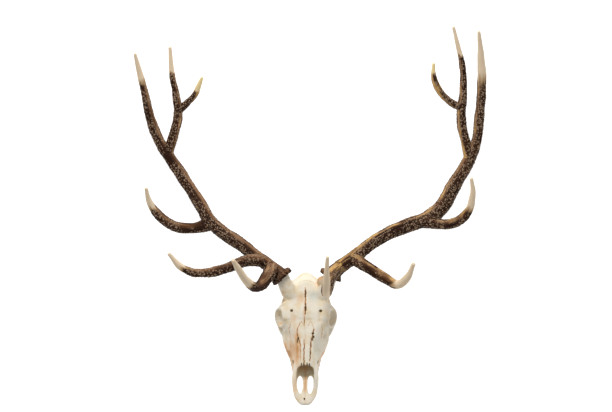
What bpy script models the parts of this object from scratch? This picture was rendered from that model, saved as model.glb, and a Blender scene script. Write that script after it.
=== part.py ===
"""A red deer stag's skull with its twelve-point antlers and no lower jaw.

It lies as such a skull rests on a table: on the back of the head and on the backs of the
two beams, with the face turned up. Sizes are in millimetres until the last step.

Two frames are used. The skull frame has x to the animal's left, y from the tip of the
upper jaw to the back of the head, and z up from the palate. The crown frame has x to the
animal's left, y along the spread antlers from nose to tips, and h up from the plane of
the burrs. The skull is pitched down in it, and the whole is then set on the floor.
"""

import math
from typing import NamedTuple

import bmesh
import bpy
import numpy as np
from mathutils import Matrix, Vector

MM = 0.001
GAP = 0.3

PALATE_PITCH = math.radians(35)
SKULL_SLEW = math.radians(-0.7)
SKULL_IN_CROWN = Vector((4.5, 4, 0))
BURR_IN_SKULL = Vector((0, 350, 157))
REST_LEAN = math.radians(-3.1)
REST_OFFSET = Vector((-20.3, -189, 128))
HALF_SPACE_REACH = 1500

SKULL_VOXEL = 3.0
SKULL_SMOOTHING = 3
SKULL_TRIANGLES = 3900
RING_POINTS = 24

# Points (x, y, z, radius) along each bar of bone of the left side, in the skull frame.
BARS = {
    "cheek_arch": [
        (64, 220, 34, 11), (79, 246, 47, 9), (83, 272, 50, 7),
        (72, 302, 57, 7), (61, 330, 64, 8), (49, 346, 66, 9),
    ],
    "postorbital_bar": [(50, 284, 104, 11), (68, 281, 97, 9), (81, 276, 78, 7), (83, 274, 56, 6)],
    "jugular_process": [(44, 378, 70, 12), (45, 370, 48, 10), (41, 360, 28, 7), (38, 352, 12, 4.5)],
    "pterygoid": [(22, 236, 4, 7), (22, 262, 12, 6), (24, 290, 30, 8), (26, 312, 46, 9)],
    "pedicle": [(40, 308, 96, 26), (55, 322, 120, 24), (67, 338, 144, 21), (75, 352, 160, 20)],
}
SKULL_BASE = [(0, 396, 52, 13), (0, 370, 42, 14), (0, 320, 42, 14), (0, 262, 34, 12)]

# Centre and half sizes of each rounded lump of the left side, of the nape's ridge, and
# of the web of bone on the inner side of the left pedicle.
LUMPS = {
    "eye_cup": ((62, 253, 72), (22, 28, 27)),
    "condyle": ((20, 396, 50), (13, 13, 19)),
    "bulla": ((33, 348, 38), (11, 16, 13)),
}
NAPE = ((0, 382, 58), (60, 15, 22))
LEFT_PEDICLE_WEB = ((50, 341, 140), (20, 15, 20))
ORBIT_CENTRE = Vector((76, 252, 76))
ORBIT_FACING = Vector((0.85, -0.35, 0.38))
ORBIT_RADIUS = 27
ORBIT_RIM = 5
EAR_TUBE = ((52, 356, 58), (1, -0.1, 0.2), 8, 26)

# Openings, as centre and half sizes, or as centre, axis, radius and length.
SOCKET = ((80, 250, 77), (27, 23, 23))
PALATE_VAULT = ((0, 170, -8), (27, 64, 11))
CHOANA = ((0, 268, 10), (15, 36, 20))
FORAMEN_MAGNUM = ((0, 404, 66), (0, 1, -0.2), 13, 44)
PALATE_WINDOW = ((15.5, 64, 0), (0, 0, 1), 31, 40, 0.3)

# Boxes round the bones that are parted off, for the left side where there are two.
MUZZLE_BOX = ((-90, -30, -60), (90, 98, 160))
NASAL_BOX = ((GAP / 2, 92, 62), (16, 224, 102))
NASAL_PITCH = math.radians(17)
CHEEK_BOX = ((64, 214, 14), (120, 322, 72))
PEDICLE_BOX = ((-40, -40, -2), (40, 40, 80))
PEDICLE_FOOT = Vector((55, 322, 121))
PEDICLE_RISE = Vector((19, 34, 40))
NASION = Vector((0, 222, 104))
FACE_FACING = Vector((0, -0.90, -0.44))
NUCHAL_CREST = Vector((0, 388, 104))
OCCIPUT_FACING = Vector((0, 0.88, -0.47))

TOOTH_LENGTHS = (14, 15, 16, 19, 22, 23)
TOOTH_WIDTHS = (13, 15, 17, 19, 20, 18)
TOOTH_ROW_FRONT = Vector((34, 117, -3))
TOOTH_ROW_BACK = Vector((48, 224, -5))
TOOTH_SPACE = 1.2
CROWN_HEIGHT = 11
CROWN_DROP = 1.5
CROWN_BEVEL = 2.2
ROOT_WIDTH = 14
ROOT_HEIGHT = 7
CUSP_HEIGHT = 6
CUSP_SHARE = 0.24
CUSP_OUT_SHARE = 0.22

BURR_THICKNESS = 14.0
BURR_KNOBS = 26
BURR_ROUGHNESS = 2.2
# Height from the middle as a share of half the thickness, radius, and share of the roughness.
BURR_PROFILE = ((-1, 24, 0.3), (-0.4, 33, 1), (0.3, 34, 1), (1, 26, 0.6))
BURR_AXES = {"left": Vector((0.437, 0.899, 0)), "right": Vector((-0.64, 0.768, 0))}
BEAM_CUT_RADIUS = 36.5
PEDICLE_CUT_RADIUS = 43.5

# Points (x, y, h, radius) along the middle of each beam and tine, in the crown frame.
BEAMS = {
    "left": [
        (78, 6, 0, 23), (119, 40, -4, 20.5), (151, 62, -8, 20), (223, 115, -26, 19.5),
        (299, 149, -50, 22), (376, 177, -70, 23), (416, 207, -80, 24.5), (457, 276, -89, 22),
        (495, 340, -90, 19.5), (522, 400, -80, 16), (530, 480, -52, 15.2), (530, 585, 4, 13.1),
        (521, 660, 50, 9.6), (509, 724, 97, 3.8),
    ],
    "right": [
        (-70, 2, 0, 23), (-112, 36, -4, 20.5), (-144, 59, -9, 20), (-197, 99, -26, 20),
        (-253, 136, -46, 20), (-293, 173, -64, 20), (-312, 206, -72, 20),
        (-360, 279, -90, 18.3), (-408, 351, -92, 18), (-442, 405, -82, 16.3),
        (-469, 480, -50, 14.2), (-484, 564, 0, 10.8), (-495, 623, 36, 7.9), (-502, 663, 64, 3.6),
    ],
}
BEAM_SIDES = 12
TINE_SIDES = 10
TREZ_FORK_POINT = 6
CROWN_FORK_POINT = 9
TINES = {
    "left": {
        "brow_tine": [
            (100, 27, 4, 20.5), (80, 11, 36, 19), (69, -11, 80, 17), (64, -35, 128, 15.5),
            (61, -31, 168, 12.5), (61, 9, 210, 8.6), (63.5, 70, 250, 4),
        ],
        "bez_tine": [
            (146, 55, -3, 19.5), (185, 31, 24, 16.5), (236, 0, 62, 14.5), (270, -16, 92, 13),
            (295, 2, 122, 10.3), (314, 47, 156, 5),
        ],
        "trez_tine": [
            (358, 167, -64, 22), (400, 159, -44, 15.6), (443, 160, -16, 14.4),
            (482, 189, 14, 12.4), (497, 246, 52, 8.2), (489.5, 294, 80, 4),
        ],
        "inner_branch": [
            (505, 345, -90, 15), (490, 409, -76, 13.4), (475, 474, -54, 13.6),
            (477, 563, -18, 10.2), (470, 638, 12, 8.6), (455, 687, 38, 6.4), (438, 741, 66, 3.6),
        ],
        "inner_tine": [
            (475, 510, -40, 11), (441, 527, -28, 10.2), (405, 559, -10, 9.2),
            (385, 602, 12, 7), (383.5, 638, 27, 3.4),
        ],
    },
    "right": {
        "brow_tine": [
            (-100, 25, 6, 23), (-114, 0, 50, 19.5), (-140, -24, 106, 15.5),
            (-169, -2, 160, 11.8), (-191, 36, 200, 8.6), (-204, 60, 224, 4.8),
        ],
        "bez_tine": [
            (-130, 48, -6, 19), (-171, 51, 32, 17.5), (-235, 29, 76, 15),
            (-301, 17, 108, 12.8), (-352, 31, 132, 10.2), (-393, 76, 160, 4.2),
        ],
        "trez_tine": [
            (-295, 157, -64, 21), (-324, 149, -52, 17.5), (-352, 146, -36, 16), (-394, 153, -12, 15.2),
            (-433, 182, 16, 13), (-460, 223, 46, 9.3), (-468, 266, 76, 4),
        ],
        "inner_branch": [
            (-420, 376, -89, 16), (-400, 433, -74, 13.5), (-386, 492, -50, 12.5),
            (-390, 548, -24, 10), (-399, 616, 8, 7.4), (-401, 685, 40, 4.4),
        ],
        "inner_tine": [
            (-385, 500, -46, 11), (-356, 524, -28, 9.5), (-332, 547, -12, 8.3),
            (-319, 572, 4, 7), (-307, 597, 18, 3.4),
        ],
    },
}

SIDES = {"left": 1, "right": -1}
SHARP_EDGE = math.radians(50)
BONE = ("bone", (0.80, 0.70, 0.52, 1), 0.55)
TOOTH = ("tooth", (0.74, 0.68, 0.55, 1), 0.35)
ANTLER = ("antler", (0.16, 0.085, 0.04, 1), 0.6)
TINE = ("tine", (0.42, 0.30, 0.18, 1), 0.45)


class Section(NamedTuple):
    """Half an outline across the skull at one place along it."""

    y: float
    floor: float
    low: tuple
    side: tuple
    top: tuple
    roof: float


FACE = (
    Section(-4, 4, (8, 4.5), (12, 7), (8, 10), 11),
    Section(5, 2, (16, 2.5), (22, 7), (16, 12), 14),
    Section(25, 1, (27, 1), (33, 8), (27, 16), 18),
    Section(50, 0, (31, 0), (37.5, 9), (31, 22), 30),
    Section(76, 0, (33, 0), (40, 9), (31, 35), 44),
    Section(102, 0, (31, -1), (38.5, 8), (27, 49), 61),
    Section(128, 0, (31, -2), (40.5, 8), (26, 61), 70),
    Section(150, 1, (37, -4), (46.5, 9), (28, 69), 77),
    Section(175, 2, (46, -4), (58, 13), (33, 78), 85),
    Section(204, 2, (53, -4), (68, 22), (43, 88), 94),
    Section(235, 3, (52, 2), (71, 39), (60, 99), 103),
    Section(258, 24, (34, 26), (60, 52), (62, 106), 111),
)
CRANIUM = (
    Section(232, 60, (40, 62), (68, 84), (60, 102), 105),
    Section(252, 52, (42, 56), (71, 97), (58, 109), 113),
    Section(275, 48, (38, 54), (66, 102), (48, 113), 117),
    Section(295, 46, (38, 52), (59, 100), (42, 117), 120),
    Section(318, 44, (42, 52), (55, 92), (42, 124), 127),
    Section(345, 42, (46, 50), (53, 82), (30, 122), 130),
    Section(370, 40, (46, 48), (50, 64), (22, 110), 120),
    Section(390, 40, (40, 46), (44, 60), (17, 98), 107),
    Section(400, 48, (22, 54), (27, 66), (14, 90), 98),
)
NASAL_CAVITY = (
    Section(17, 9, (4, 9), (8, 14), (7, 32), 36),
    Section(35, 7, (15, 7), (20, 14), (19, 46), 60),
    Section(60, 6, (22, 7), (26, 18), (23, 62), 80),
    Section(88, 6, (22, 7), (26, 22), (21, 70), 92),
    Section(103, 6, (21, 7), (26, 24), (19, 45), 53),
    Section(130, 7, (18, 8), (24, 26), (17, 50), 58),
    Section(180, 14, (9, 16), (13, 32), (10, 50), 56),
)


def new_object(name, mesh):
    obj = bpy.data.objects.new(name, mesh)
    bpy.context.scene.collection.objects.link(obj)
    return obj


def evaluated_mesh(obj):
    """The object's mesh with its modifiers applied."""
    graph = bpy.context.evaluated_depsgraph_get()
    graph.update()
    return bpy.data.meshes.new_from_object(obj.evaluated_get(graph))


def apply_modifiers(obj):
    mesh = evaluated_mesh(obj)
    obj.modifiers.clear()
    obj.data = mesh


def mesh_object(name, build):
    """An object whose mesh is filled in by build(bm)."""
    bm = bmesh.new()
    build(bm)
    bmesh.ops.recalc_face_normals(bm, faces=bm.faces[:])
    mesh = bpy.data.meshes.new(name)
    bm.to_mesh(mesh)
    bm.free()
    return new_object(name, mesh)


def on_side(point, side):
    """A point given for the left side, 1, moved to the same place on the right, -1."""
    x, *rest = point
    return (x * side, *rest)


def box(name, low, high, turn=None):
    """A box between two corners, turned about its centre."""
    low, high = Vector(low), Vector(high)
    turned = (turn or Matrix()).to_4x4()
    place = Matrix.Translation((low + high) / 2) @ turned @ Matrix.Diagonal((*(high - low), 1))
    return mesh_object(name, lambda bm: bmesh.ops.create_cube(bm, size=1, matrix=place))


def side_box(name, corners, side, turn=None):
    """A box given by its corners on the left side, made on either side."""
    (x1, *low), (x2, *high) = corners
    left, right = sorted((x1 * side, x2 * side))
    return box(name, (left, *low), (right, *high), turn)


def ellipsoid(name, centre, radii):
    place = Matrix.Translation(centre) @ Matrix.Diagonal((*radii, 1))
    return mesh_object(
        name,
        lambda bm: bmesh.ops.create_uvsphere(bm, u_segments=20, v_segments=12, radius=1, matrix=place),
    )


def rod(name, centre, axis, radius, length, squash=1.0):
    """A closed cylinder along an axis, narrowed across by squash."""
    turn = Vector(axis).to_track_quat("Z", "Y").to_matrix().to_4x4()
    place = Matrix.Translation(centre) @ turn @ Matrix.Diagonal((squash, 1, 1, 1))
    return mesh_object(
        name,
        lambda bm: bmesh.ops.create_cone(
            bm, cap_ends=True, segments=24, radius1=radius, radius2=radius, depth=length, matrix=place
        ),
    )


def ring_points(count):
    """Unit vectors spread evenly round the z axis."""
    turns = [2 * math.pi * k / count for k in range(count)]
    return [Vector((math.cos(turned), math.sin(turned), 0)) for turned in turns]


def torus(name, centre, axis, radius, thickness):
    """A ring made as a closed tube round a circle."""
    turn = Vector(axis).to_track_quat("Z", "Y").to_matrix()

    def build(bm):
        rings = []
        for out in ring_points(24):
            ring = []
            for around in ring_points(10):
                point = out * (radius + thickness * around.x)
                point.z = thickness * around.y
                ring.append(bm.verts.new(Vector(centre) + turn @ point))
            rings.append(ring)
        bridge(bm, rings, closed=True)

    return mesh_object(name, build)


def bridge(bm, rings, closed=False):
    """Faces between each ring of points and the next."""
    pairs = list(zip(rings, rings[1:]))
    if closed:
        pairs.append((rings[-1], rings[0]))
    for first, second in pairs:
        count = len(first)
        for i in range(count):
            j = (i + 1) % count
            bm.faces.new((first[i], first[j], second[j], second[i]))
    if not closed:
        bm.faces.new(rings[0])
        bm.faces.new(rings[-1])


def smooth_closed(points, count):
    """Points spread along a closed smooth curve through a few given ones."""
    points = np.array(points, float)
    number = len(points)
    found = []
    for k in range(count):
        at = k * number / count
        i = int(at)
        t = at - i
        a, b, c, d = (points[(i + step) % number] for step in (-1, 0, 1, 2))
        found.append(
            0.5 * (2 * b + (c - a) * t + (2 * a - 5 * b + 4 * c - d) * t**2 + (3 * b - a - 3 * c + d) * t**3)
        )
    return found


def section_loft(name, sections):
    """A closed body through cross sections, the same on both sides."""

    def build(bm):
        rings = []
        for section in sections:
            half = [section.low, section.side, section.top]
            outline = [(0, section.floor), *half, (0, section.roof)]
            outline += [(-x, z) for x, z in reversed(half)]
            rings.append(
                [bm.verts.new((x, section.y, z)) for x, z in smooth_closed(outline, RING_POINTS)]
            )
        bridge(bm, rings)

    return mesh_object(name, build)


def tube(name, path, sides=BEAM_SIDES, grown=0.0):
    """A closed tube along a smooth curve through points of (x, y, z, radius)."""
    curve = bpy.data.curves.new(name, "CURVE")
    curve.dimensions = "3D"
    curve.resolution_u = 3
    curve.bevel_depth = 1.0
    curve.bevel_resolution = sides // 2 - 2
    curve.use_fill_caps = True
    spline = curve.splines.new("BEZIER")
    spline.radius_interpolation = "CARDINAL"
    spline.bezier_points.add(len(path) - 1)
    for point, (x, y, z, radius) in zip(spline.bezier_points, path):
        point.co = (x, y, z)
        point.radius = radius + grown
        point.handle_left_type = "AUTO"
        point.handle_right_type = "AUTO"
    guide = new_object(name + "_curve", curve)
    obj = new_object(name, evaluated_mesh(guide))
    bpy.data.objects.remove(guide)
    bm = bmesh.new()
    bm.from_mesh(obj.data)
    bmesh.ops.remove_doubles(bm, verts=bm.verts, dist=0.01)
    bmesh.ops.recalc_face_normals(bm, faces=bm.faces[:])
    bm.to_mesh(obj.data)
    bm.free()
    return obj


def join(name, pieces):
    """One object that holds the meshes of several, which are removed."""
    bm = bmesh.new()
    for piece in pieces:
        bm.from_mesh(piece.data)
        bpy.data.objects.remove(piece)
    mesh = bpy.data.meshes.new(name)
    bm.to_mesh(mesh)
    bm.free()
    return new_object(name, mesh)


def keep_largest(obj):
    """Drops all but the largest closed surface of an object."""
    bm = bmesh.new()
    bm.from_mesh(obj.data)
    left = set(bm.verts)
    islands = []
    while left:
        stack = [left.pop()]
        island = set(stack)
        while stack:
            for edge in stack.pop().link_edges:
                for vert in edge.verts:
                    if vert in left:
                        left.remove(vert)
                        island.add(vert)
                        stack.append(vert)
        islands.append(island)
    islands.sort(key=len)
    for island in islands[:-1]:
        bmesh.ops.delete(bm, geom=list(island), context="VERTS")
    bmesh.ops.recalc_face_normals(bm, faces=bm.faces[:])
    bm.to_mesh(obj.data)
    bm.free()


def combine(obj, other, operation, keep=False):
    """Cuts, joins or intersects an object with another one, which is then removed."""
    modifier = obj.modifiers.new("combine", "BOOLEAN")
    modifier.operation = operation
    modifier.object = other
    apply_modifiers(obj)
    if not keep:
        bpy.data.objects.remove(other)


def grown_box(region):
    """A copy of a box that is larger by the gap on every side."""
    copy = new_object("grown", region.data.copy())
    corners = [vertex.co.copy() for vertex in copy.data.vertices]
    for polygon in copy.data.polygons:
        for index in polygon.vertices:
            corners[index] += polygon.normal * GAP
    for vertex, corner in zip(copy.data.vertices, corners):
        vertex.co = corner
    return copy


def part_off(body, region, name):
    """The piece of a body that lies in a region, taken off it with a thin gap."""
    piece = new_object(name, body.data.copy())
    combine(piece, region, "INTERSECT", keep=True)
    keep_largest(piece)
    combine(body, grown_box(region), "DIFFERENCE")
    bpy.data.objects.remove(region)
    return piece


def half_space(point, direction):
    """A large box whose near face stands at a point, across a direction."""
    reach = HALF_SPACE_REACH
    turn = direction.to_track_quat("Z", "Y").to_matrix().to_4x4()
    region = box("space", (-reach, -reach, 0), (reach, reach, 2 * reach))
    region.data.transform(Matrix.Translation(point) @ turn)
    return region


def skull_shapes():
    """The solid shapes whose common skin is the skull."""
    shapes = [
        section_loft("face", FACE),
        section_loft("cranium", CRANIUM),
        tube("base", SKULL_BASE),
        ellipsoid("nape", *NAPE),
        ellipsoid("web", *LEFT_PEDICLE_WEB),
    ]
    for side in SIDES.values():
        centre, axis, radius, length = EAR_TUBE
        shapes.append(rod("ear", on_side(centre, side), on_side(axis, side), radius, length))
        rim = on_side(ORBIT_CENTRE, side), on_side(ORBIT_FACING, side)
        shapes.append(torus("orbit_rim", *rim, ORBIT_RADIUS, ORBIT_RIM))
        for name, path in BARS.items():
            shapes.append(tube(name, [on_side(point, side) for point in path]))
        for name, (centre, radii) in LUMPS.items():
            shapes.append(ellipsoid(name, on_side(centre, side), radii))
    return shapes


def skull_openings():
    """The shapes that are cut out of the skull, such as the sockets and the nose."""
    openings = [
        section_loft("cavity", NASAL_CAVITY),
        ellipsoid("vault", *PALATE_VAULT),
        ellipsoid("choana", *CHOANA),
        rod("foramen_magnum", *FORAMEN_MAGNUM),
    ]
    for side in SIDES.values():
        centre, radii = SOCKET
        openings.append(ellipsoid("socket", on_side(centre, side), radii))
        centre, *shape = PALATE_WINDOW
        openings.append(rod("window", on_side(centre, side), *shape))
    return openings


def voxel_skin(obj, smoothing=0):
    """One closed skin round the shapes of an object."""
    remesh = obj.modifiers.new("skin", "REMESH")
    remesh.mode = "VOXEL"
    remesh.voxel_size = SKULL_VOXEL
    if smoothing:
        smooth = obj.modifiers.new("smooth", "SMOOTH")
        smooth.factor = 0.5
        smooth.iterations = smoothing
    apply_modifiers(obj)


def skull_body():
    """The whole skull as one skin, with its openings, before it is parted."""
    body = join("skull", skull_shapes())
    voxel_skin(body)
    for opening in skull_openings():
        combine(body, opening, "DIFFERENCE")
    voxel_skin(body, SKULL_SMOOTHING)
    keep_largest(body)
    thin = body.modifiers.new("thin", "DECIMATE")
    thin.ratio = SKULL_TRIANGLES / (2 * len(body.data.polygons))
    apply_modifiers(body)
    return body


def cusp(at, radius):
    """A blunt four-sided point on the chewing face of a tooth."""
    place = Matrix.Translation(at) @ Matrix.Rotation(math.pi, 4, "X")
    return mesh_object(
        "cusp",
        lambda bm: bmesh.ops.create_cone(
            bm, cap_ends=True, segments=4, radius1=radius, radius2=radius * 0.3, depth=CUSP_HEIGHT, matrix=place
        ),
    )


def tooth(at, length, width, turn, side):
    """The crown of one cheek tooth with its two outer cusps."""
    size = Vector((width / 2, (length - TOOTH_SPACE) / 2, CROWN_HEIGHT / 2))
    crown = box("crown", at - size, at + size, turn)
    bevel = crown.modifiers.new("round", "BEVEL")
    bevel.width = CROWN_BEVEL
    bevel.segments = 1
    apply_modifiers(crown)
    pieces = [crown]
    for offset in (-length / 4, length / 4):
        cusp_at = at + turn.to_3x3() @ Vector((side * width * CUSP_OUT_SHARE, offset, 0))
        cusp_at.z -= CROWN_HEIGHT / 2
        pieces.append(cusp(cusp_at, length * CUSP_SHARE))
    return pieces


def tooth_row(face, side):
    """The six cheek teeth of one side, fused on the bar that sits in the jaw."""
    front = Vector(on_side(TOOTH_ROW_FRONT, side))
    back = Vector(on_side(TOOTH_ROW_BACK, side))
    run = back - front
    turn = Matrix.Rotation(-math.atan2(run.x, run.y), 4, "Z")
    middle = (front + back) / 2
    half = Vector((ROOT_WIDTH / 2, run.length / 2, ROOT_HEIGHT / 2))
    row = box("root", middle - half, middle + half, turn)
    combine(face, grown_box(row), "DIFFERENCE")
    travelled = 0
    for length, width in zip(TOOTH_LENGTHS, TOOTH_WIDTHS):
        at = front.lerp(back, (travelled + length / 2) / sum(TOOTH_LENGTHS))
        at.z -= CROWN_HEIGHT / 2 + CROWN_DROP
        for piece in tooth(at, length, width, turn, side):
            combine(row, piece, "UNION")
        travelled += length
    keep_largest(row)
    return row


def part_skull(body):
    """The bones of the skull, by name, each a thin gap from the next."""
    parts = {}
    muzzle = part_off(body, box("muzzle", *MUZZLE_BOX), "muzzle")
    pitch = Matrix.Rotation(NASAL_PITCH, 4, "X")
    for name, side in SIDES.items():
        half = half_space(Vector((side * GAP / 2, 0, 0)), Vector((side, 0, 0)))
        premaxilla = new_object("premaxilla", muzzle.data.copy())
        combine(premaxilla, half, "INTERSECT")
        keep_largest(premaxilla)
        parts[f"premaxilla_{name}"] = premaxilla
        parts[f"nasal_{name}"] = part_off(body, side_box("strip", NASAL_BOX, side, pitch), "nasal")
        parts[f"zygoma_{name}"] = part_off(body, side_box("cheek", CHEEK_BOX, side), "zygoma")
        block = box("block", *PEDICLE_BOX)
        turn = Vector(on_side(PEDICLE_RISE, side)).to_track_quat("Z", "Y").to_matrix().to_4x4()
        block.data.transform(Matrix.Translation(on_side(PEDICLE_FOOT, side)) @ turn)
        parts[f"pedicle_{name}"] = part_off(body, block, "pedicle")
    bpy.data.objects.remove(muzzle)
    parts["occiput"] = part_off(body, half_space(NUCHAL_CREST, OCCIPUT_FACING), "occiput")
    parts["face"] = part_off(body, half_space(NASION, FACE_FACING), "face")
    keep_largest(body)
    parts["braincase"] = body
    for name, side in SIDES.items():
        parts[f"tooth_row_{name}"] = tooth_row(parts["face"], side)
    keep_largest(parts["face"])
    return parts


def burr(centre, axis, rng):
    """The rough collar between pedicle and beam, a thick disc with a knobbly edge."""
    turn = axis.to_track_quat("Z", "Y").to_matrix()
    bumps = rng.uniform(-BURR_ROUGHNESS, BURR_ROUGHNESS, BURR_KNOBS)

    def build(bm):
        rings = []
        for height, radius, rough in BURR_PROFILE:
            ring = []
            for out, bump in zip(ring_points(BURR_KNOBS), bumps):
                point = out * (radius + rough * float(bump))
                point.z = height * BURR_THICKNESS / 2
                ring.append(bm.verts.new(centre + turn @ point))
            rings.append(ring)
        bridge(bm, rings)

    return mesh_object("burr", build)


def antler(side, rng):
    """The burr, the three lengths of beam and the tines of one antler."""
    path = BEAMS[side]
    centre = Vector(path[0][:3])
    axis = BURR_AXES[side]
    parts = {"burr": burr(centre, axis, rng)}
    clear_of_burr = rod("clear", centre, axis, BEAM_CUT_RADIUS, BURR_THICKNESS + 2 * GAP)
    beam = tube("beam", path)
    combine(beam, clear_of_burr, "DIFFERENCE", keep=True)
    keep_largest(beam)
    for index, name in ((CROWN_FORK_POINT, "outer_tine"), (TREZ_FORK_POINT, "upper_beam")):
        point = Vector(path[index][:3])
        direction = Vector(path[index + 1][:3]) - Vector(path[index - 1][:3])
        parts[name] = part_off(beam, half_space(point, direction), name)
    keep_largest(beam)
    parts["lower_beam"] = beam
    for name, tine_path in TINES[side].items():
        tine = tube(name, tine_path, sides=TINE_SIDES)
        combine(tine, tube("beam", path, grown=GAP), "DIFFERENCE")
        if name == "inner_tine":
            branch = tube("branch", TINES[side]["inner_branch"], sides=TINE_SIDES, grown=GAP)
            combine(tine, branch, "DIFFERENCE")
        combine(tine, clear_of_burr, "DIFFERENCE", keep=True)
        keep_largest(tine)
        parts[name] = tine
    bpy.data.objects.remove(clear_of_burr)
    return {f"antler_{side}_{name}": obj for name, obj in parts.items()}


def material(name, colour, roughness):
    made = bpy.data.materials.get(name)
    if made is None:
        made = bpy.data.materials.new(name)
        made.use_nodes = True
        shader = made.node_tree.nodes["Principled BSDF"]
        shader.inputs["Base Color"].default_value = colour
        shader.inputs["Roughness"].default_value = roughness
        shader.inputs["Metallic"].default_value = 0.0
    return made


def look_of(name):
    """The material of a node, by its name."""
    if name.startswith("tooth"):
        return material(*TOOTH)
    if not name.startswith("antler"):
        return material(*BONE)
    return material(*(TINE if name.endswith(("tine", "branch")) else ANTLER))


def main():
    for old in list(bpy.data.objects):
        bpy.data.objects.remove(old)
    rng = np.random.default_rng(7)
    parts = part_skull(skull_body())
    to_crown = (
        Matrix.Translation(SKULL_IN_CROWN)
        @ Matrix.Rotation(SKULL_SLEW, 4, "Z")
        @ Matrix.Rotation(-PALATE_PITCH, 4, "X")
        @ Matrix.Translation(-BURR_IN_SKULL)
    )
    for obj in parts.values():
        obj.data.transform(to_crown)
    for side in SIDES:
        pedicle = parts[f"pedicle_{side}"]
        centre = Vector(BEAMS[side][0][:3])
        seat = rod("seat", centre, BURR_AXES[side], PEDICLE_CUT_RADIUS, BURR_THICKNESS + 2 * GAP)
        combine(pedicle, seat, "DIFFERENCE")
        keep_largest(pedicle)
        parts.update(antler(side, rng))
    to_floor = Matrix.Translation(REST_OFFSET) @ Matrix.Rotation(REST_LEAN, 4, "X")
    floor = half_space(Vector((0, 0, 0)), Vector((0, 0, -1)))
    collection = bpy.data.collections.new("red deer stag skull")
    bpy.context.scene.collection.children.link(collection)
    for name, obj in parts.items():
        obj.data.transform(to_floor)
        combine(obj, floor, "DIFFERENCE", keep=True)
        obj.data.transform(Matrix.Scale(MM, 4))
        obj.name = name
        obj.data.materials.clear()
        obj.data.materials.append(look_of(name))
        obj.data.shade_smooth()
        obj.data.set_sharp_from_angle(angle=SHARP_EDGE)
        collection.objects.link(obj)
        bpy.context.scene.collection.objects.unlink(obj)
    bpy.data.objects.remove(floor)


main()
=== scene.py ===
"""A life-size red deer stag's skull with its antlers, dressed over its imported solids.

The shapes are made in millimetres in two frames. The skull frame has x to the animal's
left, y from the tip of the upper jaw to the back of the head, and z up from the palate.
The crown frame has x to the animal's left, y along the spread antlers from nose to tips,
and h up from the plane of the burrs. Both are then set on the floor, in metres.
"""

from __future__ import annotations

import itertools
import logging
import math
from dataclasses import dataclass, field
from enum import Enum
from typing import Callable, Iterable, Sequence

import bmesh
import bpy
import numpy as np
from mathutils import Matrix, Vector, kdtree
from mathutils.bvhtree import BVHTree

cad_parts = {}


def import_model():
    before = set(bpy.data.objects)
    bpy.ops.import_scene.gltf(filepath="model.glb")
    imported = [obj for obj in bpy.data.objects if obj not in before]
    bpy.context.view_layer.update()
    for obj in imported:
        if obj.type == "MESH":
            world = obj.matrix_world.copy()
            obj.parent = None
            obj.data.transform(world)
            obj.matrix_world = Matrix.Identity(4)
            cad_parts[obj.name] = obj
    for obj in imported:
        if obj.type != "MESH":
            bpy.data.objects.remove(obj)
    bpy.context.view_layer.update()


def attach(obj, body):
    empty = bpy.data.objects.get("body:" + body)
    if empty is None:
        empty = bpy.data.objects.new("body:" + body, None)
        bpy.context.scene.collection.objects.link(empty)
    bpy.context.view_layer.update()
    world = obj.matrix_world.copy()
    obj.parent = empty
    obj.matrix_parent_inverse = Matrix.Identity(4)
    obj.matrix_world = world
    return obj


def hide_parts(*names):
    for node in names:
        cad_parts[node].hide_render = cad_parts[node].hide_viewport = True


LOG = logging.getLogger("stag_skull")

MM = 0.001
GAP = 0.3
NOSE_SEAM_SHIFT = 4.5

REST_LEAN = math.radians(-3.1)
REST_OFFSET = Vector((-20.3, -189, 128))
PALATE_PITCH = math.radians(35)
SKULL_SLEW = math.radians(-0.7)
SKULL_IN_CROWN = Vector((4.5, 4, 0))
BURR_IN_SKULL = Vector((0, 350, 157))

CROWN_TO_FLOOR = (
    Matrix.Scale(MM, 4) @ Matrix.Translation(REST_OFFSET) @ Matrix.Rotation(REST_LEAN, 4, "X")
)
SKULL_TO_CROWN = (
    Matrix.Translation(SKULL_IN_CROWN)
    @ Matrix.Rotation(SKULL_SLEW, 4, "Z")
    @ Matrix.Rotation(-PALATE_PITCH, 4, "X")
    @ Matrix.Translation(-BURR_IN_SKULL)
)

Point = tuple[float, ...]
Colour = tuple[float, float, float, float]


class Side(Enum):
    """The animal's left, at +x, or its right."""

    LEFT = 1
    RIGHT = -1

    @property
    def word(self) -> str:
        """The side's name as the solids spell it."""
        return self.name.lower()

    def of(self, point: Sequence[float]) -> Point:
        """A point given for the left side, moved to the same place on this one."""
        x, *rest = point
        return (x * self.value, *rest)


class Cut(Enum):
    """What a Boolean does with two solids."""

    UNION = "UNION"
    DIFFERENCE = "DIFFERENCE"
    INTERSECT = "INTERSECT"


def smooth_step(low: float, high: float, values: np.ndarray) -> np.ndarray:
    """A smooth rise from 0 to 1 between two limits.

    Args:
        low: Where the rise starts. It may be the larger limit, for a fall.
        high: Where it ends.
        values: The numbers to place between them.

    Returns:
        A share from 0 to 1 for each number.
    """
    share = np.clip((values - low) / (high - low), 0, 1)
    return share * share * (3 - 2 * share)


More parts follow.
